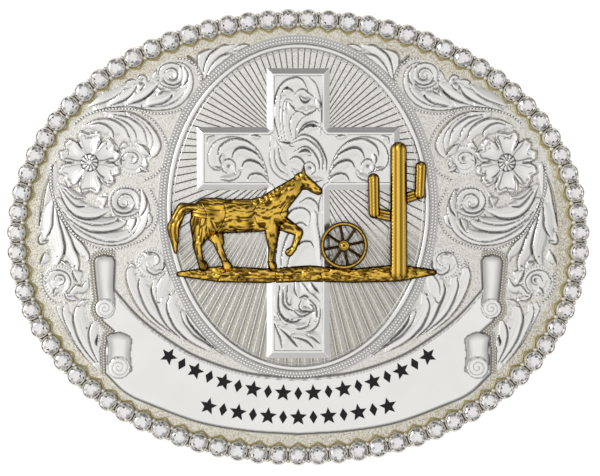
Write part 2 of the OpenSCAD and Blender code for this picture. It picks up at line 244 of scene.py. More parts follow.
def path_distance(path: Array, x: Array, y: Array) -> Array:
    """Distance of each place from a path."""
    best = np.full(len(x), np.inf)
    for (ax, ay), (bx, by) in zip(path[:-1], path[1:]):
        dx, dy = bx - ax, by - ay
        size = dx * dx + dy * dy
        if size > 0:
            t = np.clip(((x - ax) * dx + (y - ay) * dy) / size, 0, 1)
            best = np.minimum(best, (x - ax - t * dx) ** 2 + (y - ay - t * dy) ** 2)
    return np.sqrt(best)


def beside_path(path: Array, x: Array, y: Array) -> tuple[Array, Array]:
    """How far each place lies to the left of a path, negative to its right, and the part of it run there."""
    run = running(path) / max(lengths(np.diff(path, axis=0)).sum(), 1e-9)
    best, side, part = np.full(len(x), np.inf), np.ones(len(x)), np.zeros(len(x))
    for i, ((ax, ay), (bx, by)) in enumerate(zip(path[:-1], path[1:])):
        dx, dy = bx - ax, by - ay
        size = dx * dx + dy * dy
        if size > 0:
            rx, ry = x - ax, y - ay
            t = np.clip((rx * dx + ry * dy) / size, 0, 1)
            d = (rx - t * dx) ** 2 + (ry - t * dy) ** 2
            near = d < best
            best = np.where(near, d, best)
            side = np.where(near, np.where(ry * dx - rx * dy > 0, 1, -1), side)
            part = np.where(near, run[i] + t * (run[i + 1] - run[i]), part)
    return np.sqrt(best) * side, np.clip(part, 0, 1)


def inside_distance(outline: Sequence[Point] | Array, x: Array, y: Array) -> Array:
    """Distance inside a closed outline, negative outside it."""
    ring = np.vstack([outline, outline[:1]])
    within = np.zeros(len(x), bool)
    for (ax, ay), (bx, by) in zip(ring[:-1], ring[1:]):
        if ay != by:
            within ^= ((ay > y) != (by > y)) & (x < (bx - ax) * (y - ay) / (by - ay) + ax)
    return np.where(within, 1, -1) * path_distance(ring, x, y)


def polar(x: Array, y: Array, cx: float, cy: float) -> tuple[Array, Array]:
    """Distance of each place from a middle, and its direction from there in degrees."""
    return np.hypot(x - cx, y - cy), np.degrees(np.arctan2(y - cy, x - cx))


def value_noise(x: Array, y: Array, size: float, seed: int) -> Array:
    """Smooth noise from -1 to 1 with lumps of a size in mm."""
    u, v = x / size + 1000, y / size + 1000
    i, j = np.floor(u).astype(np.int64), np.floor(v).astype(np.int64)
    fu, fv = u - i, v - j
    fu, fv = fu * fu * (3 - 2 * fu), fv * fv * (3 - 2 * fv)

    def corner(a: Array, b: Array) -> Array:
        """A fixed random value for each corner of the lattice, by an integer hash."""
        n = (a * 374761393 + b * 668265263 + seed * 974711) & 0x7FFFFFFF
        n = ((n ^ (n >> 13)) * 1274126177) & 0x7FFFFFFF
        return ((n ^ (n >> 16)) & 0xFFFF) / 32767.5 - 1

    low = corner(i, j) * (1 - fu) + corner(i + 1, j) * fu
    high = corner(i, j + 1) * (1 - fu) + corner(i + 1, j + 1) * fu
    return low * (1 - fv) + high * fv


# Meshes


def grid_tris(nx: int, ny: int, wrap: bool = False) -> Array:
    """Triangles of a grid of nx by ny points, whose rows may close on themselves."""
    columns = nx if wrap else nx - 1
    i, j = np.meshgrid(np.arange(columns), np.arange(ny - 1))
    i, j = i.ravel(), j.ravel()
    k = (i + 1) % nx
    a, b, c, d = j * nx + i, j * nx + k, (j + 1) * nx + k, (j + 1) * nx + i
    even = ((i + j) % 2 == 0)[:, None]
    first = np.where(even, np.column_stack([a, b, c]), np.column_stack([a, b, d]))
    second = np.where(even, np.column_stack([a, c, d]), np.column_stack([b, c, d]))
    return np.concatenate([first, second])


def lattice(xs: Array, ys: Array) -> tuple[Array, Array]:
    """Places and triangles of a flat grid with the given columns and rows."""
    gx, gy = np.meshgrid(xs, ys)
    return np.column_stack([gx.ravel(), gy.ravel()]), grid_tris(len(xs), len(ys))


def circle(r: float, z: float, count: int, turn: float = 0.0) -> Array:
    """Points round the Z axis at a radius and a height, turned by a part of their pitch."""
    a = (np.arange(count) + turn) * 2 * np.pi / count
    return np.column_stack([r * np.cos(a), r * np.sin(a), np.full(count, z)])


def tube_tris(n: int, m: int) -> Array:
    """Triangles of m rings of n points, closed both ways."""
    i, j = (g.ravel() for g in np.meshgrid(np.arange(n), np.arange(m)))
    i2, j2 = (i + 1) % n, (j + 1) % m
    a, b, c, d = j * n + i, j * n + i2, j2 * n + i2, j2 * n + i
    return np.concatenate([np.column_stack([a, b, c]), np.column_stack([a, c, d])])


def compact(points: Array, tris: Array, *others: Array) -> tuple[Array, ...]:
    """Only the points that triangles use, with the triangles and other rows renumbered."""
    used = np.unique(tris)
    new_id = np.full(len(points), -1)
    new_id[used] = np.arange(len(used))
    return points[used], *(new_id[rows] for rows in (tris, *others))


def clip(points: Array, tris: Array, f: Array) -> tuple[Array, Array, Array]:
    """Keeps the part of a flat mesh where f is positive.

    Args:
        points: (n, 2) places.
        tris: triangles that turn to the left.
        f: a value at each point that runs evenly across the cut.

    Returns:
        The points, the triangles, and the edges of the cut with the mesh on their left.
    """
    f = np.where(np.abs(f) < 1e-6, 1e-6, f)
    inside = f > 0
    count = inside[tris].sum(axis=1)

    def turned(part: Array, first: Array) -> Array:
        """Each triangle with the given corner first."""
        return np.take_along_axis(part, (first[:, None] + np.arange(3)) % 3, axis=1)

    one = tris[count == 1]
    one = turned(one, inside[one].argmax(axis=1))
    two = tris[count == 2]
    two = turned(two, (~inside[two]).argmax(axis=1))
    pairs = np.sort(np.concatenate([one[:, [0, 1]], one[:, [0, 2]], two[:, [0, 1]], two[:, [0, 2]]]), axis=1)
    unique, back = np.unique(pairs, axis=0, return_inverse=True)
    a, b = unique.T
    cut = points[a] + (points[b] - points[a]) * (f[a] / (f[a] - f[b]))[:, None]
    ids = len(points) + back.reshape(-1)
    n, m = len(one), len(two)
    oab, oac, tab, tac = ids[:n], ids[n : 2 * n], ids[2 * n : 2 * n + m], ids[2 * n + m :]
    kept = np.concatenate([
        tris[count == 3],
        np.column_stack([one[:, 0], oab, oac]),
        np.column_stack([tab, two[:, 1], two[:, 2]]),
        np.column_stack([tab, two[:, 2], tac]),
    ])
    edges = np.concatenate([np.column_stack([oab, oac]), np.column_stack([tac, tab])])
    return compact(np.concatenate([points, cut]), kept, edges)


def loops_of(edges: Array) -> list[list[int]]:
    """Closed loops that the directed edges form."""
    follow: dict[int, list[int]] = {}
    for a, b in edges.tolist():
        follow.setdefault(a, []).append(b)
    loops = []
    while follow:
        start = next(iter(follow))
        loop, here = [], start
        while here in follow:
            loop.append(here)
            nexts = follow[here]
            after = nexts.pop()
            if not nexts:
                del follow[here]
            here = after
            if here == start:
                break
        if len(loop) > 2:
            loops.append(loop)
    return loops


def filled(points: Array, loops: list[list[int]]) -> Array:
    """Triangles that fill flat loops, turned to face down."""
    order = np.array([i for loop in loops for i in loop])
    lists = [[Vector((points[i][0], points[i][1], 0)) for i in loop] for loop in loops]
    tris = order[np.array(tessellate_polygon(lists))]
    a, b, c = (points[tris[:, k]] for k in range(3))
    area = (b[:, 0] - a[:, 0]) * (c[:, 1] - a[:, 1]) - (b[:, 1] - a[:, 1]) * (c[:, 0] - a[:, 0])
    tris = tris[np.abs(area) > 1e-9]
    area = area[np.abs(area) > 1e-9]
    return np.where((area > 0)[:, None], tris[:, ::-1], tris)


class Engraving:
    """Heights and tones over a set of places, painted from the back to the front.

    h is the height over the engraved ground in mm, dark the antiquing and painted shade from 0 to 1
    and matte the stippling from 0 to 1.
    """

    def __init__(self, x: Array, y: Array, h: float = 0.0, matte: float = 1.0) -> None:
        """Starts with bare ground."""
        self.x, self.y = x, y
        self.h = np.full(len(x), h)
        self.dark = np.zeros(len(x))
        self.matte = np.full(len(x), matte)

    def antique_and_shade(self, dark: Array) -> None:
        """Darkens each place to at least its tone, for antiquing and painted shade."""
        self.dark = np.maximum(self.dark, dark)

    def shade(self, where: Array, dark: float) -> None:
        """Darkens some places to at least one tone."""
        self.dark[where] = np.maximum(self.dark[where], dark)

    def stamp(self, where: Array, h: Array | float, dark: Array | float = 0.0, matte: float = 0.0) -> None:
        """Covers places with something new."""
        self.h = np.where(where, h, self.h)
        self.dark = np.where(where, dark, self.dark)
        self.matte = np.where(where, matte, self.matte)

    def incise(self, cut: Array, depth: float, dark: float) -> None:
        """Sinks and darkens places by how deep a cut goes there, from 0 to 1."""
        self.h -= depth * cut
        self.antique_and_shade(dark * cut)

    def cut(self, cut: "Cut", floor: float, lift: float) -> None:
        """Carves one stroke: a line that swells and thins, and the lobe that rises along one side of it.

        Args:
            cut: its path, side, width and ink.
            floor: height at the lobe's far side.
            lift: height of its crest over that.
        """
        path = smooth_path(cut.path, 6)
        widest = 1.6 * cut.width
        left, low = path.min(axis=0) - (widest + 0.4)
        right, high = path.max(axis=0) + (widest + 0.4)
        box = np.flatnonzero((self.x > left) & (self.x < right) & (self.y > low) & (self.y < high))
        if not len(box):
            return
        away, t = beside_path(path, self.x[box], self.y[box])
        s = away * cut.side
        swell = np.abs(np.sin(np.pi * t**0.9)) ** 0.7
        wide = widest * (0.4 + 0.6 * swell)
        q = s / np.maximum(wide, 1e-3)
        edge = dome(1 - np.clip(s / 0.34, 0, 1))
        slope = 1 - 0.75 * ramp(q, 0.05, 0.95)
        cover = (1 - ramp(q, 0.68, 1.0)) * (s >= 0)
        body = floor + lift * (0.5 + 0.5 * swell) * slope * (0.4 + 0.6 * edge)
        veins = 0.2 * ridge(q - 0.36, 0.07) + 0.16 * ridge(q - 0.58, 0.06)
        veins *= swell * min(1.0, cut.width / 1.1)
        # Painted shade: darker just beside the line and towards the lobe's far side
        shadow = 0.1 * (1 - ramp(s, 0.0, 0.55)) * swell + 0.14 * ramp(q, 0.2, 0.9)
        tone = np.maximum(veins, shadow)
        self.h[box] = self.h[box] * (1 - cover) + (body - 0.06 * veins) * cover
        self.dark[box] = self.dark[box] * (1 - cover) + tone * cover
        self.matte[box] = self.matte[box] * (1 - cover)
        # The dark line just outside the lobe's sharp edge: a sunk groove with antiquing and the lobe's painted drop
        # shadow
        line = cut.ink_and_shadow * (0.25 + 0.75 * np.abs(np.sin(np.pi * t**1.5)) ** 0.8)
        ink_and_shadow = ridge(s + 0.45 * line, line)
        self.h[box] -= 0.12 * ink_and_shadow * min(1.0, cut.ink_and_shadow / 0.2)
        self.dark[box] = np.maximum(self.dark[box], np.clip(1.2 * ink_and_shadow, 0, 0.3 + 1.7 * cut.ink_and_shadow))

    def boss(self, x: float, y: float, radius: float, floor: float, lift: float) -> None:
        """Raises the round ground of a curled end a little, with a punched ring round it."""
        rx, ry = self.x - x, self.y - y
        r = np.hypot(rx, ry) / radius
        punched = ramp(np.cos(np.arctan2(ry, rx) * round(radius * 12)), -0.3, 0.5) * ridge(r - 0.97, 0.1)
        ring = ridge(r - 0.66, 0.08) + 0.6 * ridge(r - 0.42, 0.06)
        face = floor + lift * 0.4 * (1 - ramp(r, 0.4, 1.09))
        self.stamp(r < 1.09, face - 0.08 * punched - 0.05 * ring, 0.62 * punched + 0.3 * ring + 0.03, 0.12)

    def spot(self, x: float, y: float, radius: float, dark: float) -> None:
        """Sinks a small round recess."""
        # Dark tone in the recess: antiquing and painted shade
        ink_and_shadow = ridge(np.hypot(self.x - x, self.y - y), radius * 1.4)
        self.h -= 0.12 * ink_and_shadow
        self.antique_and_shade(np.clip(1.4 * ink_and_shadow, 0, dark))

    def groove(self, path: Array, width: float, depth: float, dark: float) -> None:
        """Cuts a line along a path."""
        self.incise(ridge(path_distance(path, self.x, self.y), width / 2), depth, dark)


@dataclass(frozen=True)
class Cut:
    """A stroke of the graver. Its lobe lies to the left of the path where side is 1, else to the right."""

    side: int
    width: float
    # Darkness of the line along the lobe's sharp edge: antiquing and painted shadow
    ink_and_shadow: float
    path: Array


def cuts(*rows: Sequence[int]) -> list[Cut]:
    """Strokes from rows of side, width in tenths of a mm, ink in hundredths and a path in tenths."""
    return [Cut(r[0], r[1] / 10, r[2] / 100, np.reshape(r[3:], (-1, 2)) / 10) for r in rows]


Carving = Callable[[Array, Array], Engraving]


def relief(
    bounds: tuple[float, float, float, float],
    step: float,
    region: Callable[[Array, Array], Array],
    carve: Carving,
    foot: float = -0.45,
    foot_dark: float = 0.75,
) -> Solid:
    """A carved patch with walls down to a foot and a closed bottom.

    Args:
        bounds: lowest and highest x, then y.
        step: size of the cells.
        region: distance inside the patch's outline.
        carve: gives the heights and tones at any places.
        foot: height of the bottom over the ground.
        foot_dark: dark tone at the foot of the walls, antiquing and painted shade.

    Returns:
        The closed solid.
    """
    x0, x1, y0, y1 = bounds
    xs = np.linspace(x0, x1, int(math.ceil((x1 - x0) / step)) + 1)
    ys = np.linspace(y0, y1, int(math.ceil((y1 - y0) / step)) + 1)
    points, tris = lattice(xs, ys)
    return walled(*clip(points, tris, region(*points.T)), carve, foot, foot_dark)


def walled(
    points: Array,
    tris: Array,
    edges: Array,
    carve: Carving,
    foot: float,
    foot_dark: float,
) -> Solid:
    """Lifts a flat patch to its carved heights and closes it below."""
    work = carve(*points.T)
    rim = np.unique(edges)
    low = np.full(len(points), -1)
    low[rim] = len(points) + np.arange(len(rim))
    u, v = edges.T
    base = filled(points, loops_of(edges))
    everything = np.vstack([BEND.lift(points, work.h), BEND.lift(points[rim], foot)])
    faces = np.concatenate([
        tris,
        np.column_stack([u, low[u], low[v]]),
        np.column_stack([u, low[v], v]),
        low[base],
    ])
    tones = {
        "dark": np.concatenate([work.dark, np.full(len(rim), foot_dark)]),
        "matte": np.concatenate([work.matte, np.zeros(len(rim))]),
    }
    return Solid(everything, faces, tones)


def ring_sweep(path: Array, out: Array, profile: Section) -> Solid:
    """A closed bar that follows a closed path on the bent ground.

    Args:
        path: (n, 2) places, clockwise seen from above.
        out: unit vectors out of the loop at each.
        profile: the bar's section as offset outwards, height over the ground and dark tone, antiquing and painted
            shade.

    Returns:
        The closed solid.
    """
    n, m = len(path), len(profile)
    points = [BEND.lift(path + out * offset, h) for offset, h, _ in profile]
    tones = {"dark": np.repeat([float(dark) for _, _, dark in profile], n), "matte": np.zeros(n * m)}
    return outward(Solid(np.concatenate(points), tube_tris(n, m), tones))


def outward(solid: Solid) -> Solid:
    """The solid with its faces turned outwards, judged by its volume."""
    a, b, c = (solid.points[solid.tris[:, k]] for k in range(3))
    if np.einsum("ij,ij->i", a, np.cross(b, c)).sum() < 0:
        solid.tris = solid.tris[:, ::-1].copy()
    return solid


def lathe(profile: Section, sides: int) -> Solid:
    """A turned solid about Z, whose section runs from the axis to the axis as radius, height and dark tone for
    antiquing and painted shade.
    """
    points, rows = [], []
    for r, z, _ in profile:
        rows.append(sum(len(p) for p in points) + np.arange(sides) * (r > 0))
        points.append(circle(r, z, sides if r > 0 else 1))
    tris = []
    for low, high in zip(rows[:-1], rows[1:]):
        a, b, c, d = low, np.roll(low, -1), np.roll(high, -1), high
        tris += [np.column_stack([a, b, c]), np.column_stack([a, c, d])]
    tris = np.concatenate(tris)
    flat = (tris[:, 0] == tris[:, 1]) | (tris[:, 1] == tris[:, 2]) | (tris[:, 0] == tris[:, 2])
    dark = np.concatenate([np.full(len(p), float(tone)) for p, (_, _, tone) in zip(points, profile)])
    return outward(Solid(np.concatenate(points), tris[~flat], {"dark": dark}))


@dataclass
class Seats:
    """Places for a repeated shape, with the ways its Z and its X axis point and a size."""

    points: Array
    up: Array
    along: Array
    size: Array

    @staticmethod
    def on_ground(places: Array, h: Array | float, along: Array | None = None, size: Array | None = None) -> "Seats":
        """Seats at (n, 2) places on the bent ground, h above it."""
        x = places[:, 0]
        forward = np.tile([1.0, 0.0], (len(x), 1)) if along is None else along
        up = BEND.up(x)
        ahead = np.column_stack([forward, np.zeros(len(x))])
        ahead -= up * np.einsum("ij,ij->i", ahead, up)[:, None]
        sizes = np.ones(len(x)) if size is None else size
        return Seats(BEND.lift(places, h), up, ahead, sizes)


class Wiring:
    """A node tree under construction."""

    def __init__(self, tree: bpy.types.NodeTree) -> None:
        """Takes the tree as it is."""
        self.tree = tree

    def add(self, kind: str, **settings: object) -> bpy.types.Node:
        """Adds a node with its settings."""
        node = self.tree.nodes.new(kind)
        for key, value in settings.items():
            setattr(node, key, value)
        return node

    def feed(self, socket: bpy.types.NodeSocket, value: object) -> None:
        """Gives an input a link, a colour or a number."""
        if isinstance(value, bpy.types.NodeSocket):
            self.tree.links.new(value, socket)
        else:
            socket.default_value = (*value, 1) if isinstance(value, tuple) else value

    def fit(self, value: bpy.types.NodeSocket, *spans: float, curve: str = "LINEAR") -> bpy.types.NodeSocket:
        """Maps a value from a span to another, or to 0 to 1: from low, from high, to low, to high."""
        node = self.add("ShaderNodeMapRange", interpolation_type=curve)
        for socket, number in zip(("Value", "From Min", "From Max", "To Min", "To Max"), (value, *spans)):
            self.feed(node.inputs[socket], number)
        return node.outputs[0]

    def math(self, kind: str, a: object, b: object) -> bpy.types.NodeSocket:
        """Arithmetic on sockets or numbers."""
        node = self.add("ShaderNodeMath", operation=kind)
        self.feed(node.inputs[0], a)
        self.feed(node.inputs[1], b)
        return node.outputs[0]


class Scatter(Wiring):
    """A geometry tree that sets a shape on every seat and makes one mesh of them all."""

    def __init__(self, name: str) -> None:
        """Builds the tree, with named inputs for the shape and its random turn."""
        super().__init__(bpy.data.node_groups.new(name, "GeometryNodeTree"))
        self.ids = {}
        for label, kind in (
            ("Seats", "NodeSocketGeometry"),
            ("Shape", "NodeSocketObject"),
            ("Band", "NodeSocketObject"),
            ("Turn", "NodeSocketFloat"),
            ("Seed", "NodeSocketInt"),
            ("Finish", "NodeSocketMaterial"),
        ):
            self.ids[label] = self.tree.interface.new_socket(name=label, in_out="INPUT", socket_type=kind).identifier
        self.tree.interface.new_socket(name="Geometry", in_out="OUTPUT", socket_type="NodeSocketGeometry")
        self.wire()

    def wire(self) -> None:
        """Joins the tree: seats, turned instances, realized, with their finish."""
        given = self.add("NodeGroupInput")
        result = self.add("NodeGroupOutput")
        reads = {}
        for label, kind in (("up", "FLOAT_VECTOR"), ("along", "FLOAT_VECTOR"), ("size", "FLOAT")):
            reads[label] = self.add("GeometryNodeInputNamedAttribute", data_type=kind)
            reads[label].inputs["Name"].default_value = label
        upright = self.add("FunctionNodeAlignRotationToVector", axis="Z")
        faced = self.add("FunctionNodeAlignRotationToVector", axis="X", pivot_axis="Z")
        spin = self.add("FunctionNodeAxisAngleToRotation")
        turned = self.add("FunctionNodeRotateRotation", rotation_space="LOCAL")
        chance = self.add("FunctionNodeRandomValue", data_type="FLOAT")
        least = self.add("ShaderNodeMath", operation="MULTIPLY")
        least.inputs[1].default_value = -1.0
        shape = self.add("GeometryNodeObjectInfo")
        band = self.add("GeometryNodeObjectInfo")
        put = self.add("GeometryNodeInstanceOnPoints")
        real = self.add("GeometryNodeRealizeInstances")
        both = self.add("GeometryNodeJoinGeometry")
        dress = self.add("GeometryNodeSetMaterial")
        for source, out, target, into in (
            (reads["up"], "Attribute", upright, "Vector"),
            (upright, "Rotation", faced, "Rotation"),
            (reads["along"], "Attribute", faced, "Vector"),
            (faced, "Rotation", turned, "Rotation"),
            (given, "Turn", chance, "Max"),
            (given, "Turn", least, "Value"),
            (least, "Value", chance, "Min"),
            (given, "Seed", chance, "Seed"),
            (chance, "Value", spin, "Angle"),
            (spin, "Rotation", turned, "Rotate By"),
            (reads["size"], "Attribute", put, "Scale"),
            (given, "Seats", put, "Points"),
            (given, "Shape", shape, "Object"),
            (shape, "Geometry", put, "Instance"),
            (turned, "Rotation", put, "Rotation"),
            (put, "Instances", both, "Geometry"),
            (given, "Band", band, "Object"),
            (band, "Geometry", both, "Geometry"),
            (both, "Geometry", real, "Geometry"),
            (real, "Geometry", dress, "Geometry"),
            (given, "Finish", dress, "Material"),
            (dress, "Geometry", result, "Geometry"),
        ):
            a = next(s for s in source.outputs if s.enabled and s.name == out)
            b = next(s for s in target.inputs if s.enabled and s.name == into)
            self.feed(b, a)

    def make(
        self,
        name: str,
        seats: Seats,
        shape: bpy.types.Object,
        finish: Finish,
        turn: float = 0.0,
        seed: int = 1,
        band: bpy.types.Object | None = None,
    ) -> bpy.types.Object:
        """Sets the shape on the seats.

        Args:
            name: name of the piece.
            seats: where each copy goes.
            shape: the repeated shape, which is removed afterwards.
            finish: finish of all copies.
            turn: most random turn about each copy's own axis, in radians.
            seed: seed of that turn.
            band: a second shape that is joined to them as it lies, and removed afterwards.

        Returns:
            One plain mesh object.
        """
        mesh = bpy.data.meshes.new(name)
        mesh.from_pydata((seats.points * MM).tolist(), [], [])
        for label, values in (("up", seats.up), ("along", seats.along), ("size", seats.size)):
            carry(mesh, label, values)
        holder = linked(name + "_seats", mesh)
        modifier = holder.modifiers.new("scatter", "NODES")
        modifier.node_group = self.tree
        for label, value in (("Shape", shape), ("Band", band), ("Turn", turn), ("Seed", seed)):
            if value is not None:
                modifier[self.ids[label]] = value
        modifier[self.ids["Finish"]] = material(finish)
        graph = bpy.context.evaluated_depsgraph_get()
        made = bpy.data.meshes.new_from_object(
            holder.evaluated_get(graph), preserve_all_data_layers=True, depsgraph=graph
        )
        made.name = name
        holder.modifiers.clear()
        for old in filter(None, (holder, shape, band)):
            bpy.data.objects.remove(old)
        for label in ("up", "along", "size"):
            if label in made.attributes:
                made.attributes.remove(made.attributes[label])
        coat(made, finish)
        return linked(name, made)


# Finishes


class Recipe(Wiring):
    """A material under construction."""

    def __init__(self, name: str) -> None:
        """Starts with a bare principled shader and its output."""
        self.material = bpy.data.materials.new(name)
        self.material.use_nodes = True
        super().__init__(self.material.node_tree)
        self.shader = self.tree.nodes["Principled BSDF"]
        self.place = self.add("ShaderNodeTexCoord").outputs["Object"]

    def tone(self, name: str) -> bpy.types.NodeSocket:
        """A value that the mesh carries."""
        return self.add("ShaderNodeAttribute", attribute_name=name).outputs["Fac"]

    def noise(self, size: float, detail: float = 2.0, stretch: Colour = (1, 1, 1)) -> bpy.types.NodeSocket:
        """Noise with lumps of a size in mm."""
        shift = self.add("ShaderNodeMapping")
        shift.inputs["Scale"].default_value = stretch
        self.feed(shift.inputs["Vector"], self.place)
        node = self.add("ShaderNodeTexNoise")
        node.inputs["Scale"].default_value = 1 / (size * MM)
        node.inputs["Detail"].default_value = detail
        self.feed(node.inputs["Vector"], shift.outputs[0])
        return node.outputs[0]

    def blend(self, amount: bpy.types.NodeSocket, a: object, b: object) -> bpy.types.NodeSocket:
        """Mixes two colours, each a socket or a colour."""
        node = self.add("ShaderNodeMix", data_type="RGBA")
        for place, value in ((0, amount), (6, a), (7, b)):
            self.feed(node.inputs[place], value)
        return node.outputs[2]

    def bump(self, height: bpy.types.NodeSocket, distance: float, strength: float = 1.0) -> None:
        """Roughens the surface by a height, over a distance in mm."""
        node = self.add("ShaderNodeBump")
        node.inputs["Strength"].default_value = strength
        node.inputs["Distance"].default_value = distance * MM
        self.feed(node.inputs["Height"], height)
        self.feed(self.shader.inputs["Normal"], node.outputs[0])

    def set(self, **values: object) -> None:
        """Sets the shader's own sockets, with underscores for spaces in their names."""
        for key, value in values.items():
            self.feed(self.shader.inputs[key.replace("_", " ")], value)


@dataclass(frozen=True)
class CastMetal:
    """A plated metal: bright where it is polished, stippled grounds, and recesses darkened by antiquing and painted
    shade.
    """

    name: str
    bright: Colour
    ground: Colour
    # Colour of the dark tone: antiquing and painted shade
    recess: Colour
    polish: float
    ground_rough: float
    grain: float = 0.36
    grain_depth: float = 0.05
    metal: float = 1.0
    lacquer: float = 0.0

    def build(self) -> bpy.types.Material:
        """Makes the material."""
        w = Recipe(self.name)
        dark, matte = w.tone("dark"), w.tone("matte")
        dots = w.noise(self.grain, 1.0)
        broad = w.noise(6.0, 3.0)
        fine = w.noise(0.16, 2.0)
        pits = w.math("MULTIPLY", matte, w.fit(dots, 0.45, 0.7))
        ground = w.blend(w.fit(fine, 0.35, 0.65), self.ground, self.bright)
        face = w.blend(w.fit(broad, 0.3, 0.7), self.bright, tuple(0.96 * c for c in self.bright))
        colour = w.blend(w.math("POWER", matte, 3.0), face, ground)
        # The darker of the dark tone (antiquing and painted shade) and the antiqued stipple pits
        soiled_and_shaded = w.math("MAXIMUM", dark, w.math("MULTIPLY", pits, 0.36))
        w.set(
            Base_Color=w.blend(soiled_and_shaded, colour, self.recess),
            Metallic=self.metal,
            Coat_Weight=self.lacquer,
            Coat_Roughness=0.16,
            Roughness=w.math(
                "ADD", w.fit(matte, 0.0, 1.0, self.polish, self.ground_rough), w.math("MULTIPLY", fine, 0.06)
            ),
        )
        height = w.math("ADD", w.math("MULTIPLY", pits, -1.0), w.math("MULTIPLY", fine, 0.06))
        w.bump(height, self.grain_depth)
        return w.material


@dataclass(frozen=True)
class FoiledCrystal:
    """Clear cut stone over foil, whose facets carry painted reflections: a tone that mixes the tint towards painted
    dark.
    """

    name: str = "foiled_crystal"
    pale: Colour = (1.0, 1.0, 1.0)
    blush: Colour = (0.98, 0.95, 0.94)
    # Painted dark reflection, shown by facets of low tone
    deep: Colour = (0.05, 0.04, 0.04)

    def build(self) -> bpy.types.Material:
        """Makes the material."""
        w = Recipe(self.name)
        tint = w.blend(w.fit(w.noise(2.2, 1.0), 0.35, 0.65), self.pale, self.blush)
        w.set(Base_Color=w.blend(w.tone("tone"), self.deep, tint), Metallic=0.75, Roughness=0.12, IOR=1.6)
        w.bump(w.noise(0.5, 1.0), 0.004)
        return w.material


@dataclass(frozen=True)
class Enamel:
    """Glossy black fill of the inlay."""

    name: str = "black_fill"
    colour: Colour = (0.008, 0.008, 0.009)

    def build(self) -> bpy.types.Material:
        """Makes the material."""
        w = Recipe(self.name)
        w.set(
            Base_Color=w.blend(w.noise(0.8), self.colour, (0.02, 0.019, 0.018)),
            Roughness=w.fit(w.noise(1.5), 0.3, 0.7, 0.25, 0.4),
            Specular_IOR_Level=0.2,
        )
        w.bump(w.noise(0.4), 0.02)
        return w.material


@dataclass(frozen=True)
class DrawnWire:
    """Nickel-plated wire and flat bar with fine lines along them."""

    name: str = "drawn_nickel"
    colour: Colour = (0.72, 0.71, 0.69)
    line: Colour = (0.4, 0.39, 0.37)

    def build(self) -> bpy.types.Material:
        """Makes the material."""
        w = Recipe(self.name)
        lines = w.noise(0.25, 3.0, (0.06, 1.0, 1.0))
        wear = w.noise(3.0, 3.0)
        w.set(
            Base_Color=w.blend(w.fit(wear, 0.35, 0.75, 0.0, 0.5), self.colour, self.line),
            Metallic=1.0,
            Roughness=w.fit(lines, 0.3, 0.7, 0.22, 0.38),
        )
        w.bump(lines, 0.015)
        return w.material


@dataclass(frozen=True)
class PaleFloor:
    """White ground that glows a little, as in a cut-out product picture."""

    name: str = "studio_floor"
    glow: float = 0.88

    def build(self) -> bpy.types.Material:
        """Makes the material."""
        w = Recipe(self.name)
        w.set(Base_Color=(0.3, 0.3, 0.3), Roughness=0.9)
        w.set(Emission_Color=(1.0, 1.0, 1.0), Emission_Strength=self.glow)
        return w.material


SILVER = CastMetal(
    "engraved_silver", (0.97, 0.965, 0.945), (0.74, 0.66, 0.46), (0.05, 0.045, 0.04),
    polish=0.22, ground_rough=0.38, grain=0.3,
)
BORDER = CastMetal(
    "border_silver", (0.95, 0.92, 0.85), (0.93, 0.88, 0.75), (0.16, 0.13, 0.08),
    polish=0.4, ground_rough=0.5, grain=0.46, grain_depth=0.03, metal=0.6,
)
OLIVE_GILT = CastMetal(
    "olive_gilt", (0.66, 0.58, 0.26), (0.6, 0.56, 0.4), (0.14, 0.11, 0.03),
    polish=0.4, ground_rough=0.5, grain=0.25, grain_depth=0.03, metal=0.5,
)
BEADED = CastMetal(
    "banner_edge_metal", (0.86, 0.8, 0.66), (0.6, 0.54, 0.4), (0.1, 0.07, 0.03),
    polish=0.28, ground_rough=0.5, grain=0.25, grain_depth=0.03,
)
GOLD = CastMetal(
    "antiqued_gold", (1.0, 0.64, 0.1), (0.6, 0.32, 0.03), (0.045, 0.015, 0.001),
    polish=0.17, ground_rough=0.4, grain=0.35, grain_depth=0.06, lacquer=0.08,
)
CRYSTAL = FoiledCrystal()


# Sub-assemblies


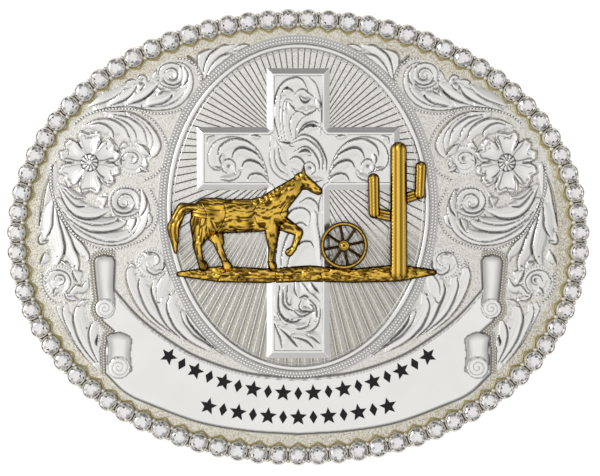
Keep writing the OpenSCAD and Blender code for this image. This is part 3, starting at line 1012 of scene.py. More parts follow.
@dataclass
class Border:
    """Ring of clawed cups with their stones, the link beads and the gilt line inside them."""

    count: int = 79
    cup_r: float = 1.85
    stone_r: float = 1.45
    half_w: float = 52.5
    half_h: float = 41.0
    fullness: float = 0.97
    edge_out: float = 0.9
    line_gap: float = 0.42
    claws: int = 4
    claw_out: float = 1.48
    link_out: float = 1.02

    def oval(self, degrees: Array, grow: float = 0.0) -> Array:
        """Places on the ring at angles clockwise from the top."""
        s, c = np.sin(np.radians(degrees)), np.cos(np.radians(degrees))
        return np.column_stack([
            (self.half_w - self.cup_r + grow) * np.sign(s) * np.abs(s) ** self.fullness,
            (self.half_h - self.cup_r + grow) * np.sign(c) * np.abs(c) ** self.fullness,
        ])

    def even(self, places: Array) -> Array:
        """Angles at which the ring has run the given parts of a stone's pitch."""
        table = np.arange(721) * 0.5
        run = running(self.oval(table))
        return np.interp(places * run[-1] / self.count, run, table)

    def frames(self, places: Array) -> tuple[Array, Array]:
        """Places on the ring and the unit vectors out of it."""
        degrees = self.even(places)
        here = self.oval(degrees)
        ahead = self.oval(degrees + 0.2) - self.oval(degrees - 0.2)
        ahead /= lengths(ahead)[:, None]
        return here, np.column_stack([-ahead[:, 1], ahead[:, 0]])

    def inside(self, x: Array, y: Array, grow: float) -> Array:
        """Distance inside the oval at an offset from the ring."""
        return inside_distance(self.oval(np.arange(0, 360, 1.5), grow), x, y)

    def cup(self) -> Solid:
        """One cup with its claws, about its own axis."""
        # Third column: darker towards the cup's foot and in the gap round the stone, painted shade with antiquing
        profile = [
            (0, -1.8, 1), (1.6, -1.8, 1), (1.8, -1.55, 0.8), (1.83, -0.2, 0.6), (1.82, 0.35, 0.5),
            (1.74, 0.75, 0.3), (1.66, 0.98, 0.05), (1.58, 1.06, 0), (1.5, 1.0, 0.5), (1.42, 0.5, 0.8),
            (0, 0.35, 0.8),
        ]
        body = lathe(profile, 24)
        # The claws darken towards their feet: painted shade with antiquing
        profile = [(0, 0.7, 1), (0.22, 0.95, 0.8), (0.27, 1.15, 0.2), (0.2, 1.32, 0), (0.1, 1.38, 0), (0, 1.4, 0)]
        claws = [lathe(profile, 8) for _ in range(self.claws)]
        for k, claw in enumerate(claws):
            a = math.radians((k + 0.5) * 360 / self.claws)
            claw.points = claw.points + [self.claw_out * math.cos(a), self.claw_out * math.sin(a), 0]
        solid = body.joined(*claws)
        solid.tones["matte"] = np.zeros(len(solid.points))
        return solid

    def stone(self) -> tuple[Solid, Array]:
        """One brilliant and the tone of each of its facets: painted reflections, light or dark at random."""
        r = self.stone_r + 0.04
        rings = [
            circle(0, 1.34, 1), circle(0.4 * r, 1.34, 8, 0.5), circle(0.68 * r, 1.34, 8),
            circle(0.86 * r, 1.2, 8, 0.5), circle(r, 0.96, 16), circle(r, 0.86, 16), circle(0, 0.1, 1),
        ]
        centre, heart, table, star, girdle, low, tip = np.cumsum([0] + [len(ring) for ring in rings[:-1]])
        faces, tone = [], []
        rng = np.random.default_rng(5)

        def facet(corners: Sequence[int], least: float, most: float) -> None:
            """Adds a facet as a fan, all of one painted reflection tone."""
            value = rng.uniform(least, most)
            for i in range(1, len(corners) - 1):
                faces.append((corners[0], corners[i], corners[i + 1]))
                tone.append(value)

        for k in range(8):
            n = (k + 1) % 8
            p = (k - 1) % 8
            facet((centre, heart + p, heart + k), 0.95, 1.0)
            facet((table + k, heart + k, heart + p), 0.9, 1.0)
            facet((table + k, table + n, heart + k), 0.45 * (k % 3 > 0), 1.0)
            facet((table + k, star + k, table + n), 0.2 + 0.5 * (k % 2), 1.0)
            facet((table + k, star + p, girdle + 2 * k, star + k), 0.85, 1.0)
            facet((star + k, girdle + 2 * k, girdle + 2 * k + 1), 0.0, 0.1 + 0.9 * (k % 3 == 1))
            facet((star + k, girdle + 2 * k + 1, girdle + (2 * k + 2) % 16), 0.1 + 0.8 * (k % 4 > 0), 1.0)
        for k in range(16):
            n = (k + 1) % 16
            facet((girdle + k, low + k, low + n, girdle + n), 0.0, 0.4)
            facet((low + k, tip, low + n), 0.0, 0.2)
        solid = outward(Solid(np.vstack(rings), np.array(faces)))
        return solid, np.array(tone)

    def zigzag(self, gap: float) -> tuple[Array, Array]:
        """The line along the inner side of the cups, and the vectors out of it.

        It is straight from the foot of each cup to the notch between two.
        """
        steps = np.arange(self.count * 8) / 8
        here, out = self.frames(steps)
        off = np.abs(steps % 1 - 0.5) * 2
        depth = self.cup_r + gap - ramp(off, -0.15, 1.15)
        return here - out * depth[:, None], out

    def build(self, scatter: Scatter) -> None:
        """Makes the cups, stones, link beads and the gilt line."""
        here, out = self.frames(np.arange(self.count) + 0.5)
        seats = Seats.on_ground(here, 0.0, out)
        cup = make_object("cup_shape", self.cup(), BORDER)
        settle(scatter.make("border_cups", seats, cup, BORDER))

        # The stones keep one tone a facet, a painted reflection light or dark at random, and a thread through their
        # points joins them to one piece
        stone, tone = self.stone()
        shape = make_object("stone_shape", stone, CRYSTAL, 0.5)
        shape.data.polygons.foreach_set("use_smooth", np.zeros(len(tone), bool))
        carry(shape.data, "tone", tone, "FACE")
        path, normal = self.frames(np.arange(self.count * 4) / 4)
        band = ring_sweep(path, normal, [(-0.3, 0.2, 1), (0.3, 0.2, 1), (0.3, 0.7, 1), (-0.3, 0.7, 1)])
        band.tones = {}
        thread = make_object("band_shape", band, CRYSTAL)
        stones = scatter.make("border_stones_cut", seats, shape, CRYSTAL, turn=math.pi, seed=7, band=thread)
        settle(stones, "border_stones")

        valley, vout = self.frames(np.arange(self.count))
        places = np.concatenate([valley + vout * self.link_out, valley - vout * self.link_out])
        sizes = np.repeat([0.85, 1.0], self.count)
        # Third column: darker towards each bead's foot, antiquing and painted shade
        profile = [
            (0, -0.2, 0.8), (0.42, 0, 0.6), (0.45, 0.35, 0.3), (0.32, 0.62, 0.1), (0.14, 0.72, 0), (0, 0.74, 0),
        ]
        link = make_object("link_shape", lathe(profile, 10), BORDER)
        seats = Seats.on_ground(places, 0.1, np.concatenate([vout, vout]), sizes)
        settle(scatter.make("border_link_beads", seats, link, BORDER))

        path, normal = self.zigzag(self.line_gap)
        # Third column: darker towards the line's feet, antiquing and painted shade
        profile = [(-0.22, -0.1, 0.7), (-0.19, 0.16, 0.2), (0, 0.26, 0), (0.19, 0.16, 0.2), (0.22, -0.1, 0.7)]
        settle(make_object("border_line", ring_sweep(path, normal, profile), OLIVE_GILT))


@dataclass
class Plate:
    """The bent slab, with the hinge tube and the prong's boss on its back."""

    border: Border
    thick: float = 1.8
    top: float = -0.12
    tube: tuple[float, float, float] = (-17.0, 7.744, 30.0)
    tube_r: float = 2.1
    bore_r: float = 1.25
    web: float = 3.0
    boss_x: float = 31.0
    boss_r: float = 3.4
    shank_bore: float = 1.5

    def slab(self) -> Solid:
        """The slab under the relief, coarse because it is only bent."""
        grow = self.border.edge_out
        flat, tris = lattice(np.linspace(-54, 54, 73), np.linspace(-42, 42, 57))
        points, tris, edges = clip(flat, tris, self.border.inside(*flat.T, grow))
        n = len(points)
        u, v = edges.T
        both = np.vstack([BEND.lift(points, self.top), BEND.lift(points, -self.thick)])
        faces = np.concatenate([
            tris, tris[:, ::-1] + n,
            np.column_stack([u, u + n, v + n]), np.column_stack([u, v + n, v]),
        ])
        return Solid(both, faces, {"dark": np.repeat([0.3, 0.0], n), "matte": np.repeat([1.0, 0.35], n)})

    def pipe(self, outer: float, inner: float, low: float, high: float) -> Solid:
        """A tube about Z with its rims eased."""
        ease = 0.12
        section = [
            (inner, low + ease), (inner + ease, low), (outer - ease, low), (outer, low + ease),
            (outer, high - ease), (outer - ease, high), (inner + ease, high), (inner, high - ease),
        ]
        points = np.concatenate([circle(r, z, 48) for r, z in section])
        return outward(Solid(points, tube_tris(48, len(section))))

    def build(self) -> None:
        """Makes the slab and its fittings as one piece."""
        tx, tz, length = self.tube
        tube = self.pipe(self.tube_r, self.bore_r, -length / 2, length / 2)
        tube.points = np.column_stack([tube.points[:, 0] + tx, -tube.points[:, 2], tube.points[:, 1] + tz])
        half, reach = self.web / 2, length / 2 - 0.3
        top = BEND.z(np.array([tx]), -0.9)[0]
        web = box_solid((tx - half, -reach, tz + self.bore_r + 0.2), (tx + half, reach, top))
        low = BEND.z(np.array([self.boss_x]), -self.thick)[0] - 1.5
        boss = self.pipe(self.boss_r, self.shank_bore, low, low + 2.3)
        r, under, over = self.boss_r - 0.2, low + 2.2, low + 2.6
        cap = lathe([(0, under, 0), (r, under, 0), (r, over, 0), (0, over, 0)], 48)
        cap.points[:, 0] += self.boss_x
        boss.points[:, 0] += self.boss_x
        solid = self.slab().joined(tube, web, boss, cap)
        solid.tones["matte"][-sum(len(s.points) for s in (tube, web, boss, cap)):] = 0.2
        settle(make_object("plate_back", solid, SILVER))


def box_solid(low: Sequence[float], high: Sequence[float]) -> Solid:
    """A plain block between two corners."""
    corners = np.array(list(product(*zip(low, high))))
    quads = [(0, 1, 3, 2), (4, 6, 7, 5), (0, 4, 5, 1), (2, 3, 7, 6), (0, 2, 6, 4), (1, 5, 7, 3)]
    tris = [(a, b, c) for a, b, c, d in quads] + [(a, c, d) for a, b, c, d in quads]
    return outward(Solid(corners, np.array(tris)))


@dataclass
class OvalFrame:
    """Polished oval frame, the thin line inside it and the two dotted rows outside it."""

    a: float = 23.7
    b: float = 29.4
    y: float = 5.4
    width: float = 1.1

    def ring(self, grow: float, count: int = 720) -> tuple[Array, Array]:
        """Places round an oval at an offset from the frame's outer edge, and the vectors out of it."""
        t = np.arange(count) * 2 * np.pi / count
        p = np.column_stack([self.a * np.sin(t), self.y + self.b * np.cos(t)])
        n = np.column_stack([np.sin(t) / self.a, np.cos(t) / self.b])
        n /= lengths(n)[:, None]
        return p + n * grow, n

    def inside(self, x: Array, y: Array, grow: float = 0.0) -> Array:
        """Rough distance inside the oval at an offset from the frame's outer edge."""
        a, b = self.a + grow, self.b + grow
        u, v = x / a, (y - self.y) / b
        k = np.hypot(u, v) + 1e-9
        slope = np.hypot(u / a, v / b) / k
        return (1 - k) / np.maximum(slope, 1e-3)

    def build(self) -> None:
        """Makes the frame and its inner line."""
        path, out = self.ring(0)
        w = self.width
        # Third column of both profiles: darker towards the foot, antiquing and painted shade
        bar = ring_sweep(path, out, [
            (0, -0.2, 0.8), (-0.02, 0.3, 0.25), (-0.2, 0.5, 0), (-0.5, 0.56, 0), (-0.75, 0.5, 0),
            (-w + 0.12, 0.3, 0.25), (-w, -0.2, 0.8),
        ])
        line = ring_sweep(path, out, [
            (-w - 0.42, -0.2, 0.7), (-w - 0.36, 0.1, 0.1), (-w - 0.26, 0.15, 0), (-w - 0.16, 0.1, 0.1),
            (-w - 0.1, -0.2, 0.7),
        ])
        settle(make_object("oval_frame", bar.joined(line), SILVER))


@dataclass
class Banner:
    """Polished ribbon with rolled ends along the bottom."""

    height: float = 0.4
    top_line: tuple[Point, ...] = (
        (-36.2, -12.4), (-33.2, -9.4), (-28.9, -14.2), (-23.6, -18.3), (-17.7, -21.7), (-9.2, -24.4), (0, -25.3),
    )
    low_line: tuple[Point, ...] = (
        (0, -35.2), (-9, -34.6), (-17.7, -33.1), (-26.3, -30), (-30.8, -27.9), (-34.5, -24.4),
    )
    tail: tuple[Point, ...] = (
        (-36.6, -4.4), (-36.2, -3.6), (-34.8, -3.2), (-33.4, -3.5), (-33.0, -4.3), (-33.2, -8.8), (-32.9, -12.2),
        (-35.8, -12.2), (-36.3, -8),
    )
    fold: tuple[Point, ...] = (
        (-34.4, -17.9), (-33.5, -17.3), (-32.3, -17.0), (-31.2, -17.3), (-30.3, -17.8), (-29.9, -18.4), (-30.2, -21),
        (-29.9, -24), (-32, -25), (-34.3, -22.8), (-34.1, -20),
    )
    shoulder: tuple[Point, ...] = (
        (-34.6, -20.5), (-34.2, -18), (-32.8, -16.9), (-35.0, -15.0), (-35.8, -13.3), (-35.6, -11.8), (-33.6, -11),
    )
    rolls: tuple[tuple[float, ...], ...] = ((-34.7, -12.8, 1.7, 150), (-32.2, -23.4, 1.9, 200))
    beaded_x: float = 32.9
    beaded_y: float = -24.6

    def body(self) -> Array:
        """Outline of the ribbon's left half."""
        return np.vstack([smooth_path(self.top_line[1:]), smooth_path(self.low_line), self.shoulder])

    def beaded(self, x: Array, y: Array) -> Array:
        """Where the ribbon's dotted edge runs: beyond its rolled ends."""
        return (np.abs(x) > self.beaded_x) & (y > self.beaded_y)

    def region(self, x: Array, y: Array) -> Array:
        """Distance inside the whole banner."""
        x = -np.abs(x)
        middle = np.minimum(y - self.low_line[0][1], self.top_line[-1][1] - y)
        best = np.where(x > -0.4, middle, inside_distance(self.body(), x, y))
        for outline in (self.tail, self.fold):
            best = np.maximum(best, inside_distance(outline, x, y))
        for cx, cy, radius, _ in self.rolls:
            best = np.maximum(best, radius - np.hypot(x - cx, y - cy))
        return best

    def carve(self, x: Array, y: Array) -> Engraving:
        """Heights of the ribbon, its strips and its rolls."""
        work = Engraving(-np.abs(x), y, self.height, 0.0)
        x = work.x
        edge = self.region(x, y)
        work.h -= 0.16 * (1 - ramp(edge, 0.0, 0.28))
        work.dark = 0.45 * (1 - ramp(edge, 0.0, 0.16))
        work.incise(ridge(path_distance(smooth_path(self.top_line[1:]), x, y) - 0.42, 0.1), 0.07, 0.6)
        for outline, lift in ((self.tail, 0.03), (self.fold, 0.04)):
            inner = inside_distance(outline, x, y)
            work.shade((inner > -0.14) & (inner <= 0), 0.7)
            face = self.height + lift + 0.1 * ramp(inner, 0.0, 0.3)
            # Painted shade: a dark rim at the edge of the tail and fold, and grey fading inwards over 1.5 mm so their
            # middles look lit
            work.stamp(inner > 0, face, 0.35 * (1 - ramp(inner, 0.0, 0.12)) + 0.5 * (1 - ramp(inner, 0.1, 1.5)))
            work.incise(ridge(max(outline)[0] - 0.75 - x, 0.12) * (inner > 0.25), 0.06, 0.45)
        for cx, cy, radius, start in self.rolls:
            r, a = polar(x, y, cx, cy)
            disc = r < radius
            work.shade((r < radius + 0.15) & ~disc, 0.65)
            turns = np.mod(r / radius * 2.4 - (a - start) / 360, 1.0)
            cut = ridge(turns - 0.5, 0.2)
            work.stamp(disc, self.height + 0.08 + 0.14 * dome(r / radius) - 0.07 * cut, 0.55 * cut)
        return work

    def build(self) -> None:
        """Makes the banner as one patch."""
        solid = relief((-37.2, 37.2, -36.0, -2.8), 0.16, self.region, self.carve, -0.4, 0.9)
        settle(make_object("banner", solid, SILVER))

    def outline(self, gap: float) -> Array:
        """Places at a gap outside the left half's outline, for the dotted edge."""
        points, tris = lattice(np.arange(-39.0, 0.01, 0.12), np.arange(-37.5, -1.5, 0.12))
        cut, _, edges = clip(points, tris, self.region(*points.T) + gap)
        loop = np.array(max(loops_of(edges), key=len))
        # It starts at its lowest place near the middle
        first = int(np.argmin(cut[loop, 1] + 1000 * (cut[loop, 0] < -0.6)))
        return cut[np.roll(loop, -first)]


# Curls cut into the petals' tips: width in hundredths of a mm and path in tenths
FLOWER_CUTS = (
    (22, -397, 186, -396.5, 179, -392, 171),
    (14, -362, 166, -358, 172, -350, 180),
    (15, -419, 177, -408, 175, -397, 169, -388, 159),
    (15, -338, 179, -330, 172, -323, 162, -320, 153),
    (12, -344, 169, -345, 162, -342, 157),
    (15, -346, 137, -334, 134, -325, 127),
    (20, -337, 120, -335, 112, -329, 107, -329, 100),
    (20, -363, 122, -357, 114, -349, 108),
    (13, -358, 108, -348, 100, -339, 97),
    (16, -388, 108, -391, 95, -389, 82, -383, 76, -378, 81, -374, 90),
    (20, -418, 98, -414, 91, -407, 89, -400, 90),
    (20, -429, 122, -426, 129, -419, 132),
    (13, -427, 140, -418, 136, -410, 132, -402, 133),
    (12, -384, 183, -381, 176, -375, 179, -369, 176),
    (12, -416, 160, -412, 152, -416, 148),
)


@dataclass
class Flower:
    """Blossom with heart-shaped petals and a swirled eye."""

    x: float = -37.5
    y: float = 13.4
    reach: float = 5.8
    petals: int = 6
    eye: float = 1.55

    def carve(self, work: Engraving, base: float = 0.0) -> None:
        """Adds the blossom to an engraving."""
        r, a = polar(work.x, work.y, self.x, self.y)
        pitch = 360 / self.petals
        which = np.floor(np.mod(a, 360) / pitch)
        off = np.mod(a, pitch) - pitch / 2
        side = np.clip(np.abs(off) / (pitch / 2), 0, 1)
        lobe = 0.9 + 0.1 * np.sin(np.pi * np.clip(side / 0.9, 0, 1)) - 0.6 * np.clip(side - 0.7, 0, 1) ** 1.1
        rim = self.reach * lobe * (1 + 0.025 * np.sin(off * 0.4 + which * 2.1))
        u = np.clip(r / rim, 0, 1)
        seam = (1 - side) * np.radians(pitch / 2) * r
        inside = r < rim
        gap = np.minimum((1 - u) * rim, seam + 0.1 + 0.4 * ramp(-u, -0.75, -0.4))
        lip = ridge(gap - 0.55, 0.6)
        bowl = 0.16 + 0.2 * u - 0.2 * ridge(side, 0.75) * ramp(u, 0.3, 0.7) + 0.2 * lip
        cleft = ridge(seam, 0.08 + 0.14 * u) * (0.2 + 0.8 * ramp(u, 0.5, 0.85))
        fine = np.cos(np.radians(off) * 40) * ramp(u, 0.26, 0.4) * ramp(-u, -0.8, -0.4)
        h = base + bowl - 0.22 * (1 - ramp(gap, 0, 0.3)) - 0.12 * cleft - 0.02 * fine
        root = ramp(-u, -0.66, -0.28)
        dark = 0.75 * cleft + 0.16 * root + 0.1 * root * fine
        work.shade((r < rim + 0.12) & ~inside, 0.6)
        work.stamp(inside, h, np.clip(dark, 0, 0.9))
        eye = r < self.eye
        swirl = np.cos(np.radians(a * 11) + 2.2 * r)
        rays = ramp(-swirl, 0.1, 0.8) * ramp(r, 0.25, 0.5)
        face = base + 0.42 + 0.2 * dome(r / self.eye) - 0.14 * rays
        work.stamp(eye, face, 0.75 * rays + 0.8 * ramp(r, self.eye - 0.14, self.eye))
        work.shade((r >= self.eye) & (r < self.eye + 0.12), 0.75)
        for width, *path in FLOWER_CUTS:
            work.groove(smooth_path(np.array(path) / 10), 1.35 * (width / 100), 0.12, 0.9)


SCROLL_CUTS = cuts(
    # Fan by the frame's top
    (1, 3, 50, -199, 325, -192, 319, -185, 310),
    (-1, 9, 14, -116, 338, -104, 345, -92, 346, -84, 342),
    (-1, 13, 24, -178, 290, -181, 312, -180, 325, -175, 331, -166, 335, -154, 338),
    (-1, 17, 24, -171, 286, -169, 302, -165, 316, -158, 328, -147, 337, -136, 344, -124, 345),
    (-1, 15, 22, -166, 286, -159, 302, -150, 315, -140, 324, -130, 328, -120, 329, -112, 327),
    # Top spray and its stem
    (1, 15, 12, -360, 228, -310, 235, -265, 228, -230, 230, -208, 241, -192, 262, -189, 284, -195, 303, -210, 313,
        -228, 315),
    (1, 12, 12, -270, 234, -240, 236, -217, 247, -203, 262, -199, 274),
    (1, 18, 28, -272, 235, -245, 241, -232, 249, -225, 256),
    (1, 9, 20, -251, 257, -246, 260, -242, 264),
    (1, 22, 30, -304, 239, -282, 247, -266, 258, -253, 273),
    (-1, 10, 10, -264, 284, -259, 295, -252, 301, -249, 292),
    (1, 12, 18, -286, 262, -280, 268, -276, 274),
    (-1, 10, 16, -290, 283, -285, 290, -278, 291, -273, 286, -273, 280),
    (1, 20, 28, -336, 237, -312, 247, -299, 257, -289, 273),
    (-1, 9, 18, -313, 270, -308, 279, -300, 283, -291, 282),
    (1, 12, 16, -370, 236, -338, 247, -320, 259, -310, 270),
    # Spray over the flower, outermost lobe first
    (-1, 16, 24, -340, 225, -305, 225, -277, 212, -256, 189, -247, 166, -252, 151, -261, 143),
    (-1, 13, 14, -304, 222, -282, 208, -266, 188, -261, 172, -263, 163),
    (-1, 17, 22, -334, 221, -308, 216, -293, 208, -282, 198, -276, 188, -272, 172),
    (-1, 15, 18, -334, 217, -312, 208, -300, 198, -293, 188, -291, 179),
    (-1, 17, 26, -380, 204, -364, 211, -346, 213, -332, 210, -319, 202, -310, 193, -304, 179),
    (-1, 12, 22, -374, 201, -361, 205, -349, 203, -341, 198, -334, 191, -332, 181),
    # Great sweep under the flower, outermost lobe first
    (1, 14, 12, -436, 64, -424, 34, -403, 9, -374, -8, -340, -15, -310, -11, -286, 3, -272, 24, -267, 46, -271, 68,
        -283, 84, -299, 89),
    (1, 15, 12, -431, 64, -416, 34, -396, 15, -369, 0, -338, -8, -312, -3, -293, 10, -284, 26),
    (1, 9, 26, -300, 12, -294, 22, -291, 35),
    (1, 17, 26, -424, 48, -412, 34, -399, 24, -389, 18, -376, 12, -363, 10, -346, 10, -326, 14, -312, 22,
        -308, 30),
    (1, 11, 14, -415, 45, -397, 31, -372, 23, -349, 23, -330, 28, -322, 35),
    (1, 20, 30, -430, 86, -424, 70, -418, 58, -409, 47, -399, 39, -388, 35, -376, 34, -360, 36, -344, 44),
    (-1, 12, 26, -343, 73, -345, 63, -349, 55),
    (1, 11, 26, -424, 84, -413, 70, -405, 62, -396, 56, -383, 56),
    (1, 8, 16, -420, 88, -409, 76, -398, 70, -385, 69),
    # Tall leaves down the side
    (1, 12, 42, -440, 130, -446, 112, -451, 98, -456, 78, -459, 59, -463, 36, -466, 20),
    (-1, 14, 28, -416, 24, -399, 1, -389, -10, -382, -20, -376, -31, -375, -38),
    (-1, 15, 28, -426, 36, -416, 12, -409, -3, -404, -18, -397, -33, -394, -45, -395, -60),
    (1, 8, 26, -425, -46, -418, -54, -410, -57),
    (-1, 17, 36, -434, 46, -430, 25, -426, 10, -423, -5, -421, -16, -422, -28, -426, -38, -432, -48),
    (1, 10, 28, -455, -26, -460, -36, -464, -47),
    (-1, 15, 28, -440, 62, -442, 38, -443, 22, -447, 10, -453, 1),
    (-1, 8, 22, -452, -9, -458, -12, -465, -11, -467, -4, -464, 6),
    # Leaves beside the rolled end
    (-1, 14, 10, -366, -234, -386, -213, -404, -189, -417, -166, -427, -148, -435, -130, -432, -122),
    (-1, 15, 20, -374, -224, -390, -206, -403, -186, -413, -165, -420, -150, -424, -136, -422, -124),
    (-1, 19, 30, -364, -226, -378, -209, -388, -194, -396, -178, -401, -162, -404, -148, -402, -133, -396, -119),
    (-1, 9, 14, -396, -120, -388, -113, -379, -112),
    (-1, 13, 28, -359, -226, -369, -205, -374, -190, -376, -176, -374, -163, -369, -151),
    (1, 2, 50, -360, -175, -360, -184, -362, -194),
    # Spray along the ribbon, from its lowest lobe
    (-1, 16, 24, -245, -166, -272, -144, -292, -118, -305, -90, -309, -72, -308, -60, -303, -50),
    (-1, 8, 12, -304, -50, -298, -47, -292, -52),
    (-1, 19, 28, -229, -170, -252, -152, -266, -137, -276, -120, -284, -100, -287, -87, -285, -74),
    (-1, 22, 34, -212, -180, -232, -162, -244, -144, -253, -123, -259, -110, -263, -96, -261, -82),
    (-1, 15, 10, -254, -110, -255, -95, -252, -82, -244, -70, -235, -61),
    (-1, 19, 34, -166, -202, -186, -192, -202, -181, -213, -170, -222, -159, -229, -145, -234, -132, -235, -119,
        -231, -108),
    (-1, 15, 26, -136, -210, -155, -196, -170, -186, -185, -176, -196, -164, -205, -152, -210, -138),
    (-1, 9, 40, -150, -198, -172, -178, -186, -163, -196, -149, -201, -138),
)

# Curled ends on the left half: middle and radius of their ground
SCROLL_BOSSES = ((-22.9, 29.0, 2.4), (-29.8, 13.9, 2.7), (-30.9, 6.3, 2.9), (-42.9, -7.9, 2.7), (-26.4, -4.7, 2.6))

CURL_CUTS = cuts(
    # Over the top spray
    (1, 9, 16, -249, 277, -239, 271, -226, 268, -216, 270, -209, 276),
    (-1, 9, 14, -249, 284, -250, 298, -242, 309, -228, 313, -215, 309, -208, 300),
    (-1, 8, 20, -212, 307, -206, 298, -206, 287, -213, 278, -225, 274, -237, 278, -243, 288),
    (-1, 6, 18, -242, 291, -236, 300, -226, 303, -218, 297, -217, 288, -224, 283, -231, 286, -231, 292),
    (-1, 8, 20, -205, 306, -199, 296, -199, 284, -206, 272),
    # Beside the flower
    (-1, 9, 26, -286, 167, -278, 163, -271, 155, -266, 148),
    (1, 8, 26, -313, 173, -316, 168, -320, 162),
    (-1, 9, 16, -273, 139, -270, 131, -275, 122, -285, 117),
    (1, 7, 22, -285, 126, -280, 120, -272, 118),
    (1, 8, 28, -316, 146, -318, 138, -317, 129),
    (-1, 8, 14, -314, 142, -310, 150, -302, 153, -293, 151, -288, 144, -290, 136, -296, 132, -303, 134),
    # Under it
    (-1, 9, 16, -286, 47, -297, 40, -312, 37, -324, 39, -332, 46),
    (1, 9, 14, -286, 55, -285, 71, -294, 84, -310, 88, -325, 84, -333, 73),
    (1, 8, 22, -329, 82, -335, 71, -335, 59, -327, 48, -314, 44, -300, 48, -293, 60),
    (1, 6, 20, -294, 63, -301, 74, -312, 77, -322, 70, -323, 60, -315, 54, -307, 57, -307, 64),
    (-1, 8, 28, -279, 83, -273, 68, -274, 52, -283, 38),
    (1, 6, 16, -269, 42, -270, 29, -274, 19),
    # Down the side
    (-1, 10, 16, -454, -76, -446, -63, -432, -59, -418, -64, -410, -76, -411, -89, -418, -98),
    (-1, 7, 16, -440, -80, -435, -70, -426, -68, -420, -74, -422, -83, -430, -86),
    (1, 8, 24, -434, -90, -439, -96, -440, -102),
    (1, 10, 26, -420, -102, -417, -109, -411, -113, -400, -114),
    (1, 10, 18, -381, -78, -389, -88, -399, -86, -405, -92, -412, -101),
    (1, 13, 30, -406, -60, -403, -70, -397, -80),
    # By the ribbon's spray
    (-1, 9, 14, -286, -48, -281, -34, -270, -27, -256, -29, -249, -38, -252, -48, -260, -51),
    (-1, 8, 20, -275, -28, -268, -31, -260, -32),
    (1, 9, 22, -272, -47, -271, -58, -265, -64, -256, -67, -246, -62),
    (-1, 7, 30, -245, -61, -239, -53, -241, -44),
)

# Small punched recesses: middle, radius and depth of tone
SCROLL_SPOTS = (
    (-29.7, 14.2, 0.32, 0.5), (-43.3, -3.5, 0.17, 0.9), (-40.2, -5.2, 0.2, 0.95), (-38.0, -16.3, 0.2, 0.9),
    (-42.6, -7.7, 0.28, 0.5), (-30.6, -4.6, 0.18, 0.9), (-29.1, -6.6, 0.2, 0.9), (-23.1, -10.2, 0.2, 0.9),
    (-22.2, -9.7, 0.16, 0.7), (-21.1, -13.4, 0.18, 0.9), (-32.3, 3.0, 0.22, 0.8), (-33.6, 4.0, 0.2, 0.6),
    (-22.7, 25.4, 0.2, 0.9), (-29.4, 24.2, 0.18, 0.8), (-45.8, -7.0, 0.16, 0.6), (-32.4, 15.4, 0.24, 0.8),
    (-33.0, 10.2, 0.24, 0.9), (-35.5, 8.6, 0.24, 0.6),
)

# Dotted contours of the scrollwork, left half
DOTTED = (
    (-40.2, 20.4, -38, 22, -35.5, 22.7, -33, 23.1, -30, 23, -28, 22.7, -25.6, 22.2, -22.8, 22.4, -20.6, 23.2, -18.9,
        24.6, -17.7, 27, -17.5, 29, -18.6, 31, -20, 31.9, -21.8, 32.1),
    (-28.2, 22.3, -26, 20.9, -24.3, 18.6, -23.5, 16.2, -23.9, 13.6, -25.4, 11.4, -27.6, 10.2),
    (-44.4, 13, -44.5, 10, -44.1, 7.6, -43.5, 5.6, -42.4, 3.4, -41, 1.4, -39.4, -0.2, -37, -1.6, -34.5, -2.2, -32,
        -1.9, -30, -1.3, -28, -0.5, -26.4, 0.9, -25.4, 3, -25.3, 5.6, -26.6, 8.6),
    (-46.2, -6.6, -46, -9, -45, -10.8, -43.8, -11.8),
)

# Outer edge of the scrollwork on the left half, in tenths of a mm. The full stippling lies outside it
SCROLL_MASS = (
    -96, 346, -132, 348, -168, 337, -195, 324, -222, 319, -249, 308, -267, 294, -294, 283, -321, 269, -348, 252,
    -375, 234, -397, 216, -418, 197, -434, 175, -447, 148, -456, 117, -461, 85, -465, 49, -465, 13, -461, -19,
    -459, -50, -460, -95, -447, -126, -433, -149, -411, -181, -384, -208, -357, -232, -300, -300, 0, -300, 0, -100,
    -50, 300,
)


